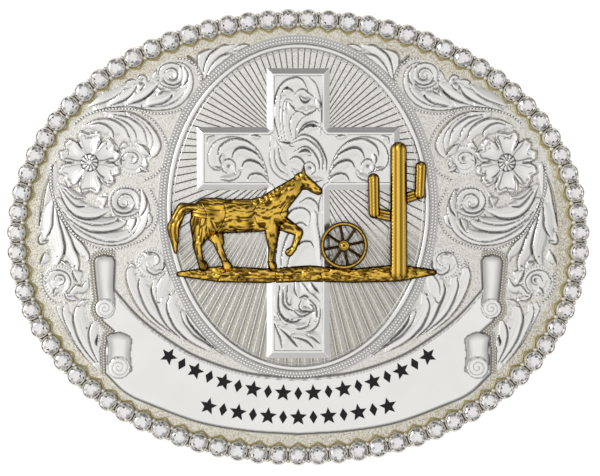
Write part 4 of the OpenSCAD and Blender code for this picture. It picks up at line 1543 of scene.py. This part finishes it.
@dataclass
class ScrollField:
    """Ground between the border and the oval frame, carved with scrolls and a flower."""

    border: Border
    oval: OvalFrame
    banner: Banner
    cell: float = 0.14
    leaf_top: float = 0.42
    flower: Flower = field(default_factory=Flower)

    def region(self, x: Array, y: Array) -> Array:
        """Distance inside the left field."""
        outer = self.border.inside(x, y, -1.1)
        inner = -self.oval.inside(x, y, -0.4)
        ribbon = 0.15 - self.banner.region(x, y)
        return np.minimum.reduce([outer, inner, ribbon, -x])

    def carve(self, x: Array, y: Array) -> Engraving:
        """Scrolls, volutes and the flower over the stippled ground."""
        work = Engraving(x, y)
        mass = inside_distance(np.reshape(SCROLL_MASS, (-1, 2)) / 10, x, y)
        inner = ramp(mass, -0.05, 0.25)
        work.matte = 1 - 0.28 * inner
        work.dark = 0.02 * inner
        work.h = -0.05 * ramp(mass, 0.0, 0.3)
        for cut in SCROLL_CUTS:
            work.cut(cut, 0.0, self.leaf_top)
        for bx, by, radius in SCROLL_BOSSES:
            work.boss(bx, by, radius, 0.0, self.leaf_top)
        for cut in CURL_CUTS:
            work.cut(cut, 0.1, self.leaf_top * 0.8)
        self.flower.carve(work)
        for sx, sy, radius, dark in SCROLL_SPOTS:
            work.spot(sx, sy, radius, dark)
        for line in DOTTED:
            away = path_distance(smooth_path(line), x, y)
            work.h = np.where(away < 0.3, np.minimum(work.h, 0.0), work.h)
            work.antique_and_shade(0.55 * (1 - ramp(away, 0.1, 0.26)))
        round_oval = self.oval.inside(x, y, 0.0)
        work.stamp((round_oval < 0) & (round_oval > -1.5), 0.0, 0.42, 0.3)
        ribbon = -self.banner.region(x, y)
        work.stamp((ribbon < 1.1) & self.banner.beaded(x, y), 0.0, 0.5, 0.4)
        # A dark band on the field along the banner's foot: antiquing and painted shade
        work.antique_and_shade(0.8 * (1 - ramp(ribbon, 0.22, 0.42)))
        return work

    def build(self) -> None:
        """Makes the left field and its mirror image."""
        solid = relief((-50.5, 0.2, -39.5, 39.5), self.cell, self.region, self.carve)
        settle(make_object("scroll_field_left", solid, SILVER))
        settle(make_object("scroll_field_right", solid.mirrored(), SILVER))


@dataclass
class Sunburst:
    """Stippled panel inside the oval frame with rays from a point behind the overlay."""

    oval: OvalFrame
    cross: "CrossPlaque"
    centre_y: float = 15.2
    rays: int = 200
    start: float = 5.3
    coarse: float = 16.0
    reach: float = 42.0
    second: float = 15.5
    half: float = 0.13

    def carve_at(self, x: Array, y: Array, offset: Array, odd: Array) -> Engraving:
        """Grooves over the upper part and ridges over the lower, given each place's ray."""
        work = Engraving(x, y)
        r = np.hypot(x, y - self.centre_y)
        lower = ramp(-y, -4.0, 3.0)
        there = np.where(odd, ramp(r, self.second, self.second + 1.5) * lower, 1.0)
        core = np.clip(1 - np.abs(offset), 0, 1) * there
        flank = ridge(np.abs(offset) - 0.9, 0.5)
        work.h = (0.05 * lower - 0.12 * (1 - lower)) * core
        work.dark = (0.95 * (1 - lower) * core + 0.75 * lower * there * flank) * np.where(odd, 0.5, 1)
        work.matte = (0.65 + 0.3 * lower) * (1 - 0.9 * core * lower)
        work.antique_and_shade((0.3 - 0.2 * core) * lower)
        return work

    def build(self) -> None:
        """Makes the panel on a fan of rows that follow the rays."""
        radii = np.concatenate([np.arange(self.start, self.coarse, 0.9), np.arange(self.coarse, self.reach, 1.1)])
        pitch = 2 * np.pi / self.rays
        # Six columns a ray: five across it and one halfway to the next
        ray, place = (g.ravel() for g in np.meshgrid(np.arange(self.rays), np.arange(6), indexing="ij"))
        side = np.array([-1.0, -0.5, 0.0, 0.5, 1.0, 2.0])[place]
        r = radii[:, None]
        half = np.minimum(self.half, r * pitch * 0.36)
        turn = np.where(place == 5, (ray + 0.5) * pitch, ray * pitch + side * half / r)
        x, y = (r * np.sin(turn)).ravel(), (self.centre_y + r * np.cos(turn)).ravel()
        tris = grid_tris(len(ray), len(radii), wrap=True)[:, ::-1]
        f = np.minimum(self.oval.inside(x, y, -0.5), 0.35 - self.cross.depth(x, y))
        tall = np.column_stack([x, y, *(np.broadcast_to(v, turn.shape).ravel() for v in (side, ray % 2))])
        points, tris, edges = clip(tall, tris, f)

        def carve(px: Array, py: Array) -> Engraving:
            """Uses the ray values that the clip carried along."""
            return self.carve_at(px, py, points[:, 2], points[:, 3] > 0.5)

        solid = walled(points[:, :2], tris, edges, carve, -0.45, 0.5)
        settle(make_object("sunburst_panel", solid, SILVER))


ARM_CUTS = cuts(
    (-1, 14, 14, 52, 94, 58, 125, 72, 156, 94, 174, 120, 180, 144, 174, 158, 159, 162, 138, 153, 122, 142, 119),
    (-1, 13, 28, 74, 156, 90, 171, 110, 176, 122, 174, 133, 168, 141, 160, 144, 148),
    (-1, 12, 32, 64, 136, 76, 150, 89, 157, 100, 160, 109, 158, 115, 152, 118, 144),
    (-1, 11, 32, 57, 116, 70, 131, 85, 137, 95, 135, 101, 126),
    (-1, 9, 26, 53, 99, 63, 110, 76, 114, 86, 111, 91, 102),
    (1, 9, 18, 102, 119, 108, 108, 122, 102, 140, 104),
    (-1, 9, 18, 112, 119, 114, 133, 125, 140, 136, 133, 135, 120, 127, 115),
    (-1, 7, 22, 136, 150, 140, 141, 138, 132),
    (1, 6, 18, 138, 124, 143, 120, 152, 124),
    (-1, 7, 22, 68, 180, 78, 183, 88, 184),
    (-1, 7, 16, 150, 182, 161, 179, 163, 170),
)

PLAQUE_CUTS = cuts(
    # Upright's top
    (-1, 17, 24, -32, 170, -42, 210, -42, 242, -35, 266, -22, 281, -5, 286, 4, 284, 10, 278, 15, 268),
    (-1, 11, 12, -29, 174, -33, 210, -32, 240, -29, 256, -23, 265),
    (1, 12, 14, 40, 186, 42, 220, 39, 250, 32, 274, 19, 288),
    (-1, 9, 26, -30, 258, -24, 266, -17, 266, -9, 261),
    (-1, 11, 12, -22, 172, -27, 200, -27, 226, -24, 244, -19, 248, -13, 245),
    (-1, 10, 24, -16, 240, -10, 233, -4, 226, 1, 225),
    (-1, 11, 12, -10, 172, -15, 200, -12, 216, -3, 225),
    (-1, 10, 12, -4, 176, -3, 196, 6, 212, 18, 219),
    (1, 11, 22, 0, 226, 7, 224, 13, 220, 21, 223, 29, 227, 36, 235),
    (-1, 8, 26, 34, 247, 39, 240, 40, 230),
    (-1, 10, 16, -8, 252, 0, 263, 10, 265, 19, 258, 27, 252),
    (1, 7, 34, 3, 251, 7, 245, 13, 243, 21, 247),
    (-1, 10, 20, -2, 182, 8, 198, 18, 205, 28, 207, 39, 203),
    (-1, 9, 40, 2, 187, 13, 196, 22, 200, 34, 198),
    # Crossing
    (1, 13, 14, -50, 178, -51, 138, -44, 118, -30, 106, -14, 99),
    (1, 10, 16, -43, 174, -41, 138, -33, 122, -20, 113),
    (1, 9, 18, -36, 164, -31, 139, -22, 128),
    (-1, 9, 34, -32, 171, -18, 168, -2, 169),
    (-1, 13, 26, -9, 174, 5, 183, 14, 183, 24, 179, 35, 169, 43, 156, 50, 138, 50, 120),
    (-1, 12, 24, -10, 169, 10, 176, 22, 171, 33, 162, 40, 151, 44, 138, 43, 122),
    (-1, 12, 24, -6, 155, 9, 162, 17, 161, 25, 155, 32, 145, 37, 133, 37, 120),
    (-1, 8, 40, 0, 151, 12, 155, 22, 151),
    (-1, 10, 22, -17, 137, -7, 144, 2, 142, 9, 135, 14, 125),
    (-1, 8, 14, 9, 114, 10, 128, 19, 135, 29, 129, 30, 118, 22, 112),
    (1, 11, 18, -12, 120, 0, 106, 20, 98, 42, 102),
    # Upright's middle
    (-1, 10, 20, -38, 26, -28, 56, -12, 76, 10, 86, 30, 82),
    (-1, 14, 22, -40, -75, -40, -30, -32, 15, -14, 46, 8, 52, 22, 40, 20, 24),
    (-1, 11, 22, -32, -60, -28, -24, -16, 8, 2, 26, 17, 19),
    (-1, 11, 26, -22, -65, -14, -34, 2, -12, 20, -8, 29, -19),
    (1, 10, 16, 42, -60, 40, -10, 34, 25, 36, 56, 42, 80),
    (-1, 9, 22, 4, 63, 18, 70, 32, 62, 37, 46),
    # Foot
    (1, 12, 22, -43, -75, -45, -110, -44, -136, -39, -150, -32, -159, -20, -167, -8, -172, 5, -173, 20, -169, 32,
        -160, 38, -146, 39, -128),
    (1, 9, 20, -36, -140, -24, -157, -8, -164, 6, -163, 17, -158, 22, -147),
    (1, 11, 32, -33, -86, -35, -114, -33, -132, -26, -143, -17, -149, -8, -151, 4, -148),
    (1, 9, 28, -27, -90, -26, -116, -20, -126, -10, -131),
    (1, 8, 24, -19, -84, -20, -108, -17, -120, -11, -119),
    (1, 8, 22, -6, -78, -6, -96, -1, -106),
    (-1, 9, 20, 7, -82, 18, -96, 27, -104, 37, -114),
    (-1, 8, 36, 23, -82, 29, -92, 36, -99),
    (-1, 7, 22, 18, -111, 28, -120, 32, -130, 33, -148),
    (1, 7, 24, -7, -132, -1, -138, 6, -141, 14, -139, 21, -135),
    (-1, 6, 28, 3, -109, 10, -106, 18, -108),
    (1, 7, 28, 6, -112, 2, -124, 6, -131, 15, -132, 26, -133, 26, -125, 20, -120),
    (1, 13, 24, -44, -150, -38, -166, -32, -180, -29, -198),
    (1, 14, 34, -32, -164, -20, -174, -10, -185, -1, -196),
    (1, 11, 30, -8, -179, 9, -183, 20, -189, 27, -198),
    (1, 9, 24, 16, -176, 28, -181, 38, -190),
)

PLAQUE_SPOTS = (
    (-2.0, 26.7, 0.24, 0.95), (2.0, 12.4, 0.3, 0.5), (12.5, 12.7, 0.32, 0.6), (-12.5, 12.7, 0.32, 0.6),
    (-1.8, -14.7, 0.2, 0.95), (-1.1, -14.7, 0.2, 0.9), (0.1, -14.8, 0.16, 0.8), (2.7, 19.9, 0.26, 0.95),
)


@dataclass
class CrossPlaque:
    """Raised Latin cross with a wide bevel, a fillet and leaf scrolls."""

    upright: tuple[float, float, float] = (5.65, 4.3, 26.0)
    arms: tuple[float, float, float] = (18.2, 14.1, 5.65)
    bevel: float = 1.0
    cell: float = 0.14
    edge: float = 0.1
    rim: float = 0.62
    floor: float = 0.42

    def depth(self, x: Array, y: Array) -> Array:
        """Distance inside the cross, negative outside it."""
        bars = []
        for half_x, mid, half_y in (self.upright, self.arms):
            dx, dy = half_x - np.abs(x), half_y - np.abs(y - mid)
            inside = np.minimum(dx, dy)
            outside = -np.hypot(np.minimum(dx, 0), np.minimum(dy, 0))
            bars.append(np.where(inside > 0, inside, outside))
        union = np.maximum(*bars)
        dx, dy = np.abs(x) - self.upright[0], np.abs(y - self.arms[1]) - self.arms[2]
        crossing = (dx < 0) & (dy < 0)
        return np.where(crossing, np.maximum(union, np.hypot(dx, dy)), union)

    def carve(self, x: Array, y: Array) -> Engraving:
        """Bevel, fillet and scrolls."""
        work = Engraving(x, y, self.floor, 0.2)
        work.dark[:] = 0.05
        mirrored = [replace(c, side=-c.side, path=c.path * [-1, 1]) for c in ARM_CUTS]
        for cut in (*ARM_CUTS, *mirrored, *PLAQUE_CUTS):
            work.cut(cut, self.floor - 0.06, 0.38)
        for sx, sy, radius, dark in PLAQUE_SPOTS:
            work.spot(sx, sy, radius, dark)
        d = self.depth(x, y)
        slope = self.edge + (self.rim - self.edge) * np.clip(d / self.bevel, 0, 1)
        fillet = self.rim - 0.05 * ridge(d - self.bevel - 0.22, 0.1)
        outer = d < self.bevel
        work.stamp(outer, slope, 0.0)
        work.stamp(~outer & (d < self.bevel + 0.42), fillet, 0.35 * ridge(d - self.bevel - 0.42, 0.12))
        return work

    def lines(self, low: float, high: float, marks: Sequence[float]) -> Array:
        """Grid lines that hit every mark exactly."""
        stops = sorted({low, high, *(m for m in marks if low < m < high)})
        parts = []
        for a, b in zip(stops[:-1], stops[1:]):
            parts.append(np.linspace(a, b, max(2, int(round((b - a) / self.cell)) + 1))[:-1])
        return np.concatenate([*parts, [high]])

    def build(self) -> None:
        """Makes the plaque on a grid that hits its edges and bevels."""
        ux, uy, uh = self.upright
        ax, ay, ah = self.arms
        xs = self.lines(-ax, ax, [s * (v - b) for s in (-1, 1) for v in (ux, ax) for b in (0, self.bevel)])
        marks = [m + s * (h - b) for m, h in ((uy, uh), (ay, ah)) for s in (-1, 1) for b in (0, self.bevel)]
        ys = self.lines(uy - uh, uy + uh, marks)
        points, tris = lattice(xs, ys)
        points, tris = compact(points, tris[self.depth(*points[tris].mean(axis=1).T) > 0])
        have = set(map(tuple, np.concatenate([tris[:, [0, 1]], tris[:, [1, 2]], tris[:, [2, 0]]]).tolist()))
        edges = np.array([e for e in have if (e[1], e[0]) not in have])
        edges = edges[np.lexsort((edges[:, 1], edges[:, 0]))]
        solid = walled(points, tris, edges, self.carve, -0.45, 0.7)
        settle(make_object("cross_plaque", solid, SILVER, 25))


@dataclass
class Milgrain:
    """Rows of tiny beads along the scrolls, round the frame and beside the banner."""

    oval: OvalFrame
    banner: Banner
    frame_rows: tuple[float, float] = (0.42, 0.98)
    frame_pitch: float = 0.56
    scroll_pitch: float = 0.58
    edge_rows: tuple[float, float] = (0.32, 0.82)
    edge_pitch: float = 0.5
    larger: int = 620

    def both(self, path: Array) -> Array:
        """A path's places and their mirror images."""
        return np.concatenate([path, path * [-1, 1]])

    def clear(self, dots: Array, gap: float) -> Array:
        """The places that keep a gap from the banner."""
        return dots[self.banner.region(*dots.T) < -gap]

    def build(self, scatter: Scatter) -> None:
        """Makes the silver rows and the gilt-toned row beside the banner."""
        rows = []
        for grow in self.frame_rows:
            ring, _ = self.oval.ring(grow)
            rows.append(self.clear(spaced(np.vstack([ring, ring[:1]]), self.frame_pitch)[:-1], 0.1))
        for line in DOTTED:
            dots = spaced(smooth_path(line), self.scroll_pitch)
            rows.append(self.both(self.clear(dots[self.oval.inside(*dots.T, 1.3) < 0], 0.3)))
        places = np.concatenate(rows)
        # Third column: darker towards the bead's foot, antiquing and painted shade
        bead = lathe([(0, -0.12, 1), (0.22, 0.02, 0.8), (0.17, 0.2, 0), (0, 0.27, 0)], 6)
        shape = make_object("bead_shape", bead, SILVER)
        size = np.where(np.arange(len(places)) < self.larger, 1.15, 1.08)
        settle(scatter.make("milgrain", Seats.on_ground(places, 0.02, None, size), shape, SILVER))

        edges = [self.banner.outline(gap) for gap in self.edge_rows]
        dots = self.both(np.concatenate([spaced(e[e[:, 0] < -0.05], self.edge_pitch) for e in edges]))
        dots = self.clear(dots[self.banner.beaded(*dots.T)], 0.1)
        # Third column: darker towards the bead's foot, antiquing and painted shade
        bead = lathe([(0, -0.12, 1), (0.22, 0.03, 0.8), (0.16, 0.18, 0.05), (0, 0.24, 0)], 6)
        shape = make_object("edge_bead_shape", bead, BEADED)
        settle(scatter.make("banner_edge_beads", Seats.on_ground(dots, 0.0), shape, BEADED))


@dataclass(frozen=True)
class Limb:
    """A tapered bar with round ends: place and radius at its start and at its end."""

    x0: float
    y0: float
    r0: float
    x1: float
    y1: float
    r1: float

    def fields(self, x: Array, y: Array) -> tuple[Array, Array, Array, Array]:
        """Distance inside, place along from 0 to 1, place across from -1 to 1 and radius there for every point."""
        dx, dy = self.x1 - self.x0, self.y1 - self.y0
        length = math.hypot(dx, dy)
        ux, uy = dx / length, dy / length
        rx, ry = x - self.x0, y - self.y0
        side = ry * ux - rx * uy
        lean = (self.r1 - self.r0) / length
        run = rx * ux + ry * uy + np.abs(side) * lean / math.sqrt(max(1e-6, 1 - lean * lean))
        t = np.clip(run / length, 0, 1)
        r = self.r0 + (self.r1 - self.r0) * t
        away = np.hypot(rx - t * dx, ry - t * dy)
        return r - away, t, side / r, r


def limbs(*chains: Sequence[float]) -> list[Limb]:
    """Limbs from joint to joint of each chain, where a joint is a place and a radius."""
    return [Limb(*chain[k : k + 6]) for chain in chains for k in range(0, len(chain) - 3, 3)]


HORSE = limbs(
    # Trunk
    (-15.2, 3.7, 3.1, -7.0, 3.9, 3.0), (-16.3, 4.1, 3.0, -14.5, 3.9, 3.2), (-7.0, 4.1, 3.1, -4.4, 4.6, 2.7),
    # Neck, head and ear
    (-4.6, 5.6, 2.6, 0.1, 9.7, 1.4), (0.5, 10.3, 1.4, 3.6, 8.3, 0.8), (0.9, 11.3, 0.5, 1.0, 12.7, 0.15),
    # Near foreleg
    (-4.8, 2.6, 1.6, -4.7, -1.7, 0.8), (-4.7, -1.9, 0.7, -5.0, -4.4, 0.55), (-5.0, -4.4, 0.6, -4.6, -5.2, 0.85),
    # Far foreleg, raised
    (-3.6, 2.9, 1.6, 0.1, 0.9, 0.85), (0.2, 0.7, 0.75, -0.8, -2.0, 0.55), (-0.8, -2.0, 0.6, -1.6, -2.7, 0.8),
    # Near hind leg
    (-17.0, 2.6, 2.5, -17.9, -0.9, 1.0), (-18.2, -1.3, 0.85, -17.5, -4.3, 0.6), (-17.5, -4.3, 0.65, -17.0, -5.2, 0.9),
    # Far hind leg
    (-15.8, 2.4, 2.3, -14.2, -1.0, 0.95), (-14.4, -1.3, 0.8, -13.2, -4.3, 0.6), (-13.2, -4.3, 0.65, -12.7, -5.2, 0.9),
    # Tail
    (-18.6, 5.4, 0.7, -20.9, 5.2, 1.0, -22.4, 1.8, 1.2, -22.0, -2.6, 0.4),
)
FAR_LEGS = HORSE[9:12] + HORSE[15:18]
TAIL = HORSE[18:]
CACTUS = limbs(
    (18.0, -6.0, 1.6, 18.0, 15.6, 1.5), (18.0, 3.4, 1.0, 13.6, 4.4, 1.05, 13.5, 10.4, 1.1),
    (18.0, 6.6, 1.0, 21.8, 7.8, 1.0, 22.0, 12.6, 1.05),
)
GROUND = limbs((
    -21.4, -6.6, 0.5, -14.0, -6.6, 1.5, -6.0, -6.9, 1.35, 2.0, -6.5, 1.5, 10.0, -6.9, 1.3, 18.0, -6.4, 1.6,
    24.4, -6.3, 0.5,
))


@dataclass
class GiltOverlay:
    """Trotting mustang, wagon wheel and saguaro on a strip of ground, all of one casting.

    The heights named low, high and top are over the engraved ground, in mm.
    """

    cell: float = 0.1
    low: float = 0.55
    high: float = 1.97
    ground_top: float = 1.5
    far_top: float = 1.55
    near_top: float = 1.8
    column_top: float = 1.9
    arm_top: float = 1.7
    wheel_tops: tuple[float, float, float] = (1.95, 1.8, 1.6)
    shadow: float = 0.8
    wheel: tuple[float, float, float] = (8.2, -1.5, 4.3)
    rim: float = 0.8
    hub: float = 1.1
    spokes: int = 8
    spoke_w: float = 0.55
    turn: float = 11.0

    def wheel_fields(self, x: Array, y: Array) -> tuple[Array, Array, Array]:
        """Distance inside the wheel, radius from its hub and place across the nearest spoke."""
        cx, cy, radius = self.wheel
        r, a = polar(x, y, cx, cy)
        pitch = 360 / self.spokes
        off = np.radians(np.mod(a - self.turn + pitch / 2, pitch) - pitch / 2)
        across = r * np.sin(off)
        spoke = np.minimum(self.spoke_w / 2 - np.abs(across), radius - self.rim / 2 - r)
        ring = self.rim / 2 - np.abs(r - radius + self.rim / 2)
        return np.maximum.reduce([self.hub - r, ring, spoke]), r, across

    def region(self, x: Array, y: Array) -> Array:
        """Distance inside the whole casting."""
        return np.maximum(self.wheel_fields(x, y)[0], self.reach(HORSE + CACTUS + GROUND, x, y))

    def carve(self, x: Array, y: Array) -> Engraving:
        """Rounded limbs, hair, bark, ribs and rock with antiqued hollows, painted shade in the muscles' hollows,
        painted shadows round the horse, cactus and wheel, and a painted dark rim along the edge.
        """
        work = Engraving(x, y, self.low, 0.0)
        hair = self.hair(x, y)
        muscle = value_noise(x, y * 0.8, 1.7, 21)
        # Dark along the hair strokes, with painted shade in the hollows between the muscles
        chased_and_shaded = np.clip(0.08 + 1.1 * ramp(-hair, 0.0, 0.6) + 0.7 * ramp(-muscle, 0.1, 0.9), 0, 0.92)

        def cast(group: Sequence[Limb], top: float, power: float) -> tuple[Array, Array]:
            """Height of a group of limbs, sharper at their joints with a higher power, and where it is."""
            total = np.zeros(len(x))
            seen = np.zeros(len(x), bool)
            for limb in group:
                inner, _, _, r = limb.fields(x, y)
                swell = dome((r - inner) / r)
                lift = (top - self.low) * np.clip(0.5 + 0.19 * r, 0, 1.0)
                total += np.where(inner > 0, lift * swell, 0) ** power
                seen |= inner > 0
            return self.low + total ** (1 / power), seen

        h, seen = cast(GROUND, self.ground_top, 6)
        rock = value_noise(x, y * 2.2, 1.3, 11) + 0.6 * value_noise(x, y * 2, 0.5, 12)
        seam = ridge(value_noise(x, y * 2.6, 1.7, 14), 0.16)
        rough = np.clip(0.1 + 0.8 * seam + 0.7 * ramp(-rock, -0.1, 0.8), 0, 0.92)
        work.stamp(seen, h - 0.12 + 0.2 * rock - 0.14 * seam, rough)
        near = [limb for limb in HORSE if limb not in FAR_LEGS]
        for group, top, power, strand, swell in (
            (FAR_LEGS, self.far_top, 6, 0.1, 0.16), (near, self.near_top, 5, 0.12, 0.32)
        ):
            h, seen = cast(group, top, power)
            work.shade(self.halo(group, x, y), self.shadow)
            work.stamp(seen, h + strand * hair + swell * muscle, chased_and_shaded)
        self.horse_lines(work)
        self.cactus(work)
        self.wagon_wheel(work)
        edge = self.region(x, y)
        work.h = np.clip(work.h, self.low, self.high)
        # Painted shadow: a dark rim along the whole casting's edge
        work.antique_and_shade(1 - ramp(edge, 0.2, 0.44))
        return work

    def hair(self, x: Array, y: Array) -> Array:
        """Short strokes that run along whichever limb of the horse is nearest."""
        strokes, best = np.zeros(len(x)), np.full(len(x), -9.0)
        for k, limb in enumerate(HORSE):
            inner, t, s, r = limb.fields(x, y)
            run = t * math.hypot(limb.x1 - limb.x0, limb.y1 - limb.y0)
            nearest = inner / r > best
            along = value_noise(0.8 * run + 9 * k, 2.4 * s * r + 0.3 * np.sin(1.4 * run), 0.6, 3)
            strokes = np.where(nearest, along, strokes)
            best = np.where(nearest, inner / r, best)
        return strokes

    def reach(self, group: Sequence[Limb], x: Array, y: Array) -> Array:
        """Distance inside a group of limbs."""
        return np.max([limb.fields(x, y)[0] for limb in group], axis=0)

    def halo(self, group: Sequence[Limb], x: Array, y: Array) -> Array:
        """Places just outside a group of limbs."""
        best = self.reach(group, x, y)
        return (best <= 0) & (best > -0.2)

    def horse_lines(self, work: Engraving) -> None:
        """Mane, tail, muscle lines, eye, mouth, nostril and hoof lines."""
        x, y = work.x, work.y
        crest = smooth_path((-7.4, 7, -5.4, 8.6, -3.2, 10.4, -1, 11.5, 0.6, 11.7))
        away = path_distance(crest, x, y)
        lock = np.cos(5.4 * x + 3.6 * y + 1.6 * np.sin(1.3 * x))
        mane = (away < 1.25 + 0.25 * lock) & (self.region(x, y) > 0) & (y > 5.6)
        work.h[mane] += 0.1 + 0.09 * lock[mane]
        work.dark[mane] = np.clip(0.25 - 0.5 * lock[mane], 0.02, 0.8)
        tail = self.reach(TAIL, x, y) > 0
        off, _ = beside_path(smooth_path((-18.2, 5.4, -20.7, 5.1, -22.3, 1.8, -22, -2.6)), x, y)
        strand = np.cos(np.pi * 2.4 * off + 0.8 * np.sin(y))
        work.h[tail] += 0.1 * strand[tail]
        work.dark[tail] = np.clip(0.35 - 0.55 * strand[tail], 0.02, 0.9)
        lines = (
            (-6.9, 6.6, -7.9, 4.6, -7.3, 2.4, -5.6, 1.3), (-13.4, 6.4, -13, 4.2, -13.9, 1.8, -15.2, 0.2),
            (-12.6, 1.2, -10.4, 0.9, -8, 1.2), (-3.2, 4, -2.4, 5.6, -0.9, 7), (-17.4, 5.9, -16.4, 4, -16.9, 2.2),
            (0.9, 9.2, 1.6, 8.5, 1.8, 9.2), (2.6, 7.9, 3.4, 8, 4.1, 7.9), (-5.6, -4.6, -5, -4.4, -4.3, -4.5),
            (-18, -4.5, -17.4, -4.2, -16.6, -4.4), (-13.8, -4.5, -13.1, -4.2, -12.3, -4.4),
        )
        for line in lines:
            work.groove(smooth_path(line), 0.34, 0.14, 0.85)
        for ex, ey, size in ((1.35, 10.35, 0.24), (3.95, 8.55, 0.16)):
            spot = np.hypot(x - ex, y - ey) < size
            work.h[spot] -= 0.1
            work.dark[spot] = 0.95

    def cactus(self, work: Engraving) -> None:
        """Ribbed column with two raised arms."""
        x, y = work.x, work.y
        work.shade(self.halo(CACTUS, x, y), self.shadow)
        # The column comes last, over the feet of its arms
        for limb in (CACTUS[1], CACTUS[3], CACTUS[2], CACTUS[4], CACTUS[0]):
            inner, _, s, r = limb.fields(x, y)
            seen = inner > 0
            round_h = dome((r - inner) / r)
            rib = np.cos(np.pi * 3.0 * np.clip(s, -1, 1))
            spine = ridge(np.mod(y * 1.6 + x, 1.0) - 0.5, 0.22) * (rib > 0.5)
            top = self.column_top if limb is CACTUS[0] else self.arm_top
            h = self.low + (top - self.low) * (0.25 + 0.75 * round_h) + 0.09 * rib + 0.05 * spine
            work.stamp(seen, h, np.clip(0.3 - 0.45 * rib + 0.25 * spine, 0.02, 0.85))

    def wagon_wheel(self, work: Engraving) -> None:
        """Wooden rim, spokes and hub with their joints and grain."""
        inner, r, across = self.wheel_fields(work.x, work.y)
        seen = inner > 0
        ring = r > self.wheel[2] - self.rim
        hub = r < self.hub
        grain = np.where(ring, np.cos(r * 24), np.cos(across * 26))
        eased = dome(1 - np.clip(inner / 0.28, 0, 1))
        top = np.select([hub, ring], self.wheel_tops[:2], self.wheel_tops[2])
        h = self.low + (top - self.low) * (0.55 + 0.45 * eased) + 0.02 * grain
        half = 180 / self.spokes
        a = polar(work.x, work.y, *self.wheel[:2])[1] - self.turn - half
        joint = ridge(np.radians(np.mod(a + half, 2 * half) - half) * r, 0.12) * ring
        collar = ridge(r - 0.62, 0.14)
        pin = (r < 0.3) * 0.9
        dark = np.clip(0.3 * ramp(-grain, 0, 0.9) + 0.8 * joint + 0.7 * collar * hub + pin, 0, 0.95)
        work.shade(~seen & (inner > -0.2), self.shadow)
        work.stamp(seen, h - 0.1 * joint - 0.1 * collar * hub, dark)

    def build(self) -> None:
        """Makes the casting as one closed patch."""
        solid = relief((-24.2, 25.4, -8.9, 17.6), self.cell, self.region, self.carve, -0.1, 1.0)
        settle(make_object("gilt_overlay_cast", solid, GOLD), "gilt_overlay")


class Studio:
    """Pale floor, soft light and the camera over the buckle."""

    def floor(self) -> None:
        """A wide white floor."""
        corners = np.array([(-1, -1, 0), (1, -1, 0), (1, 1, 0), (-1, 1, 0)]) * 1500.0
        make_object("floor", Solid(corners, np.array([(0, 1, 2), (0, 2, 3)])), PaleFloor())

    def sky(self) -> None:
        """Even light from above that dims towards the horizon, most of all at the back."""
        world = bpy.data.worlds.new("studio")
        bpy.context.scene.world = world
        world.use_nodes = True
        w = Wiring(world.node_tree)
        split = w.add("ShaderNodeSeparateXYZ")
        w.feed(split.inputs[0], w.add("ShaderNodeTexCoord").outputs["Generated"])
        high = w.fit(split.outputs["Z"], 0.0, 0.95, 0.08, 0.84, curve="SMOOTHSTEP")
        left = w.fit(split.outputs["X"], -0.8, -0.35, 0.5, 0.0, curve="SMOOTHSTEP")
        back = w.fit(split.outputs["Y"], 0.25, 0.8, 1.0, 0.5, curve="SMOOTHSTEP")
        light = w.tree.nodes["Background"].inputs
        w.feed(light["Strength"], w.math("MULTIPLY", w.math("ADD", high, left), back))
        w.feed(light["Color"], (1.0, 0.995, 0.985))

    def key(self) -> None:
        """A small softbox up to the left for the glints."""
        data = bpy.data.lights.new("key", "AREA")
        data.shape = "RECTANGLE"
        data.size, data.size_y = 0.3, 0.2
        data.energy = 0.8
        obj = linked("key", data)
        obj.location = (-0.6, 0.25, 0.35)
        obj.rotation_mode = "QUATERNION"
        obj.rotation_quaternion = Vector(obj.location).to_track_quat("Z", "Y")

    def camera(self) -> None:
        """Straight down on the buckle, with a long lens that takes in a width in mm at the height of the band."""
        width, height, band = 108.0, 1300.0, 9.0
        data = bpy.data.cameras.new("camera")
        data.lens = data.sensor_width * (height - band) / width
        data.clip_start, data.clip_end = 0.05, 10.0
        obj = linked("camera", data)
        obj.location = (0.31 * MM, -0.14 * MM, height * MM)
        bpy.context.scene.camera = obj

    def build(self) -> None:
        """Sets up everything round the buckle."""
        self.floor()
        self.sky()
        self.key()
        self.camera()
        bpy.context.scene.view_settings.view_transform = "Standard"


def main() -> None:
    """Builds the buckle in order, from the plate up."""
    logging.basicConfig(level=logging.INFO, format="%(name)s %(message)s")
    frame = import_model()
    scatter = Scatter("set_on_seats")
    border = Border()
    oval = OvalFrame()
    banner = Banner()
    cross = CrossPlaque()
    Plate(border).build()
    border.build(scatter)
    ScrollField(border, oval, banner).build()
    Sunburst(oval, cross).build()
    cross.build()
    oval.build()
    banner.build()
    Milgrain(oval, banner).build(scatter)
    GiltOverlay().build()
    for name, finish, slot in (
        ("banner_inlay", Enamel(), Slot.ENAMEL),
        ("belt_loop", DrawnWire(), Slot.NICKEL),
        ("prong", DrawnWire("drawn_nickel_prong"), Slot.NICKEL),
    ):
        coat(frame["nodes"][name].data, finish)
        log.info("%s keeps its solid, in %s", name, slot.value)
    Studio().build()


if __name__ == "__main__":
    main()
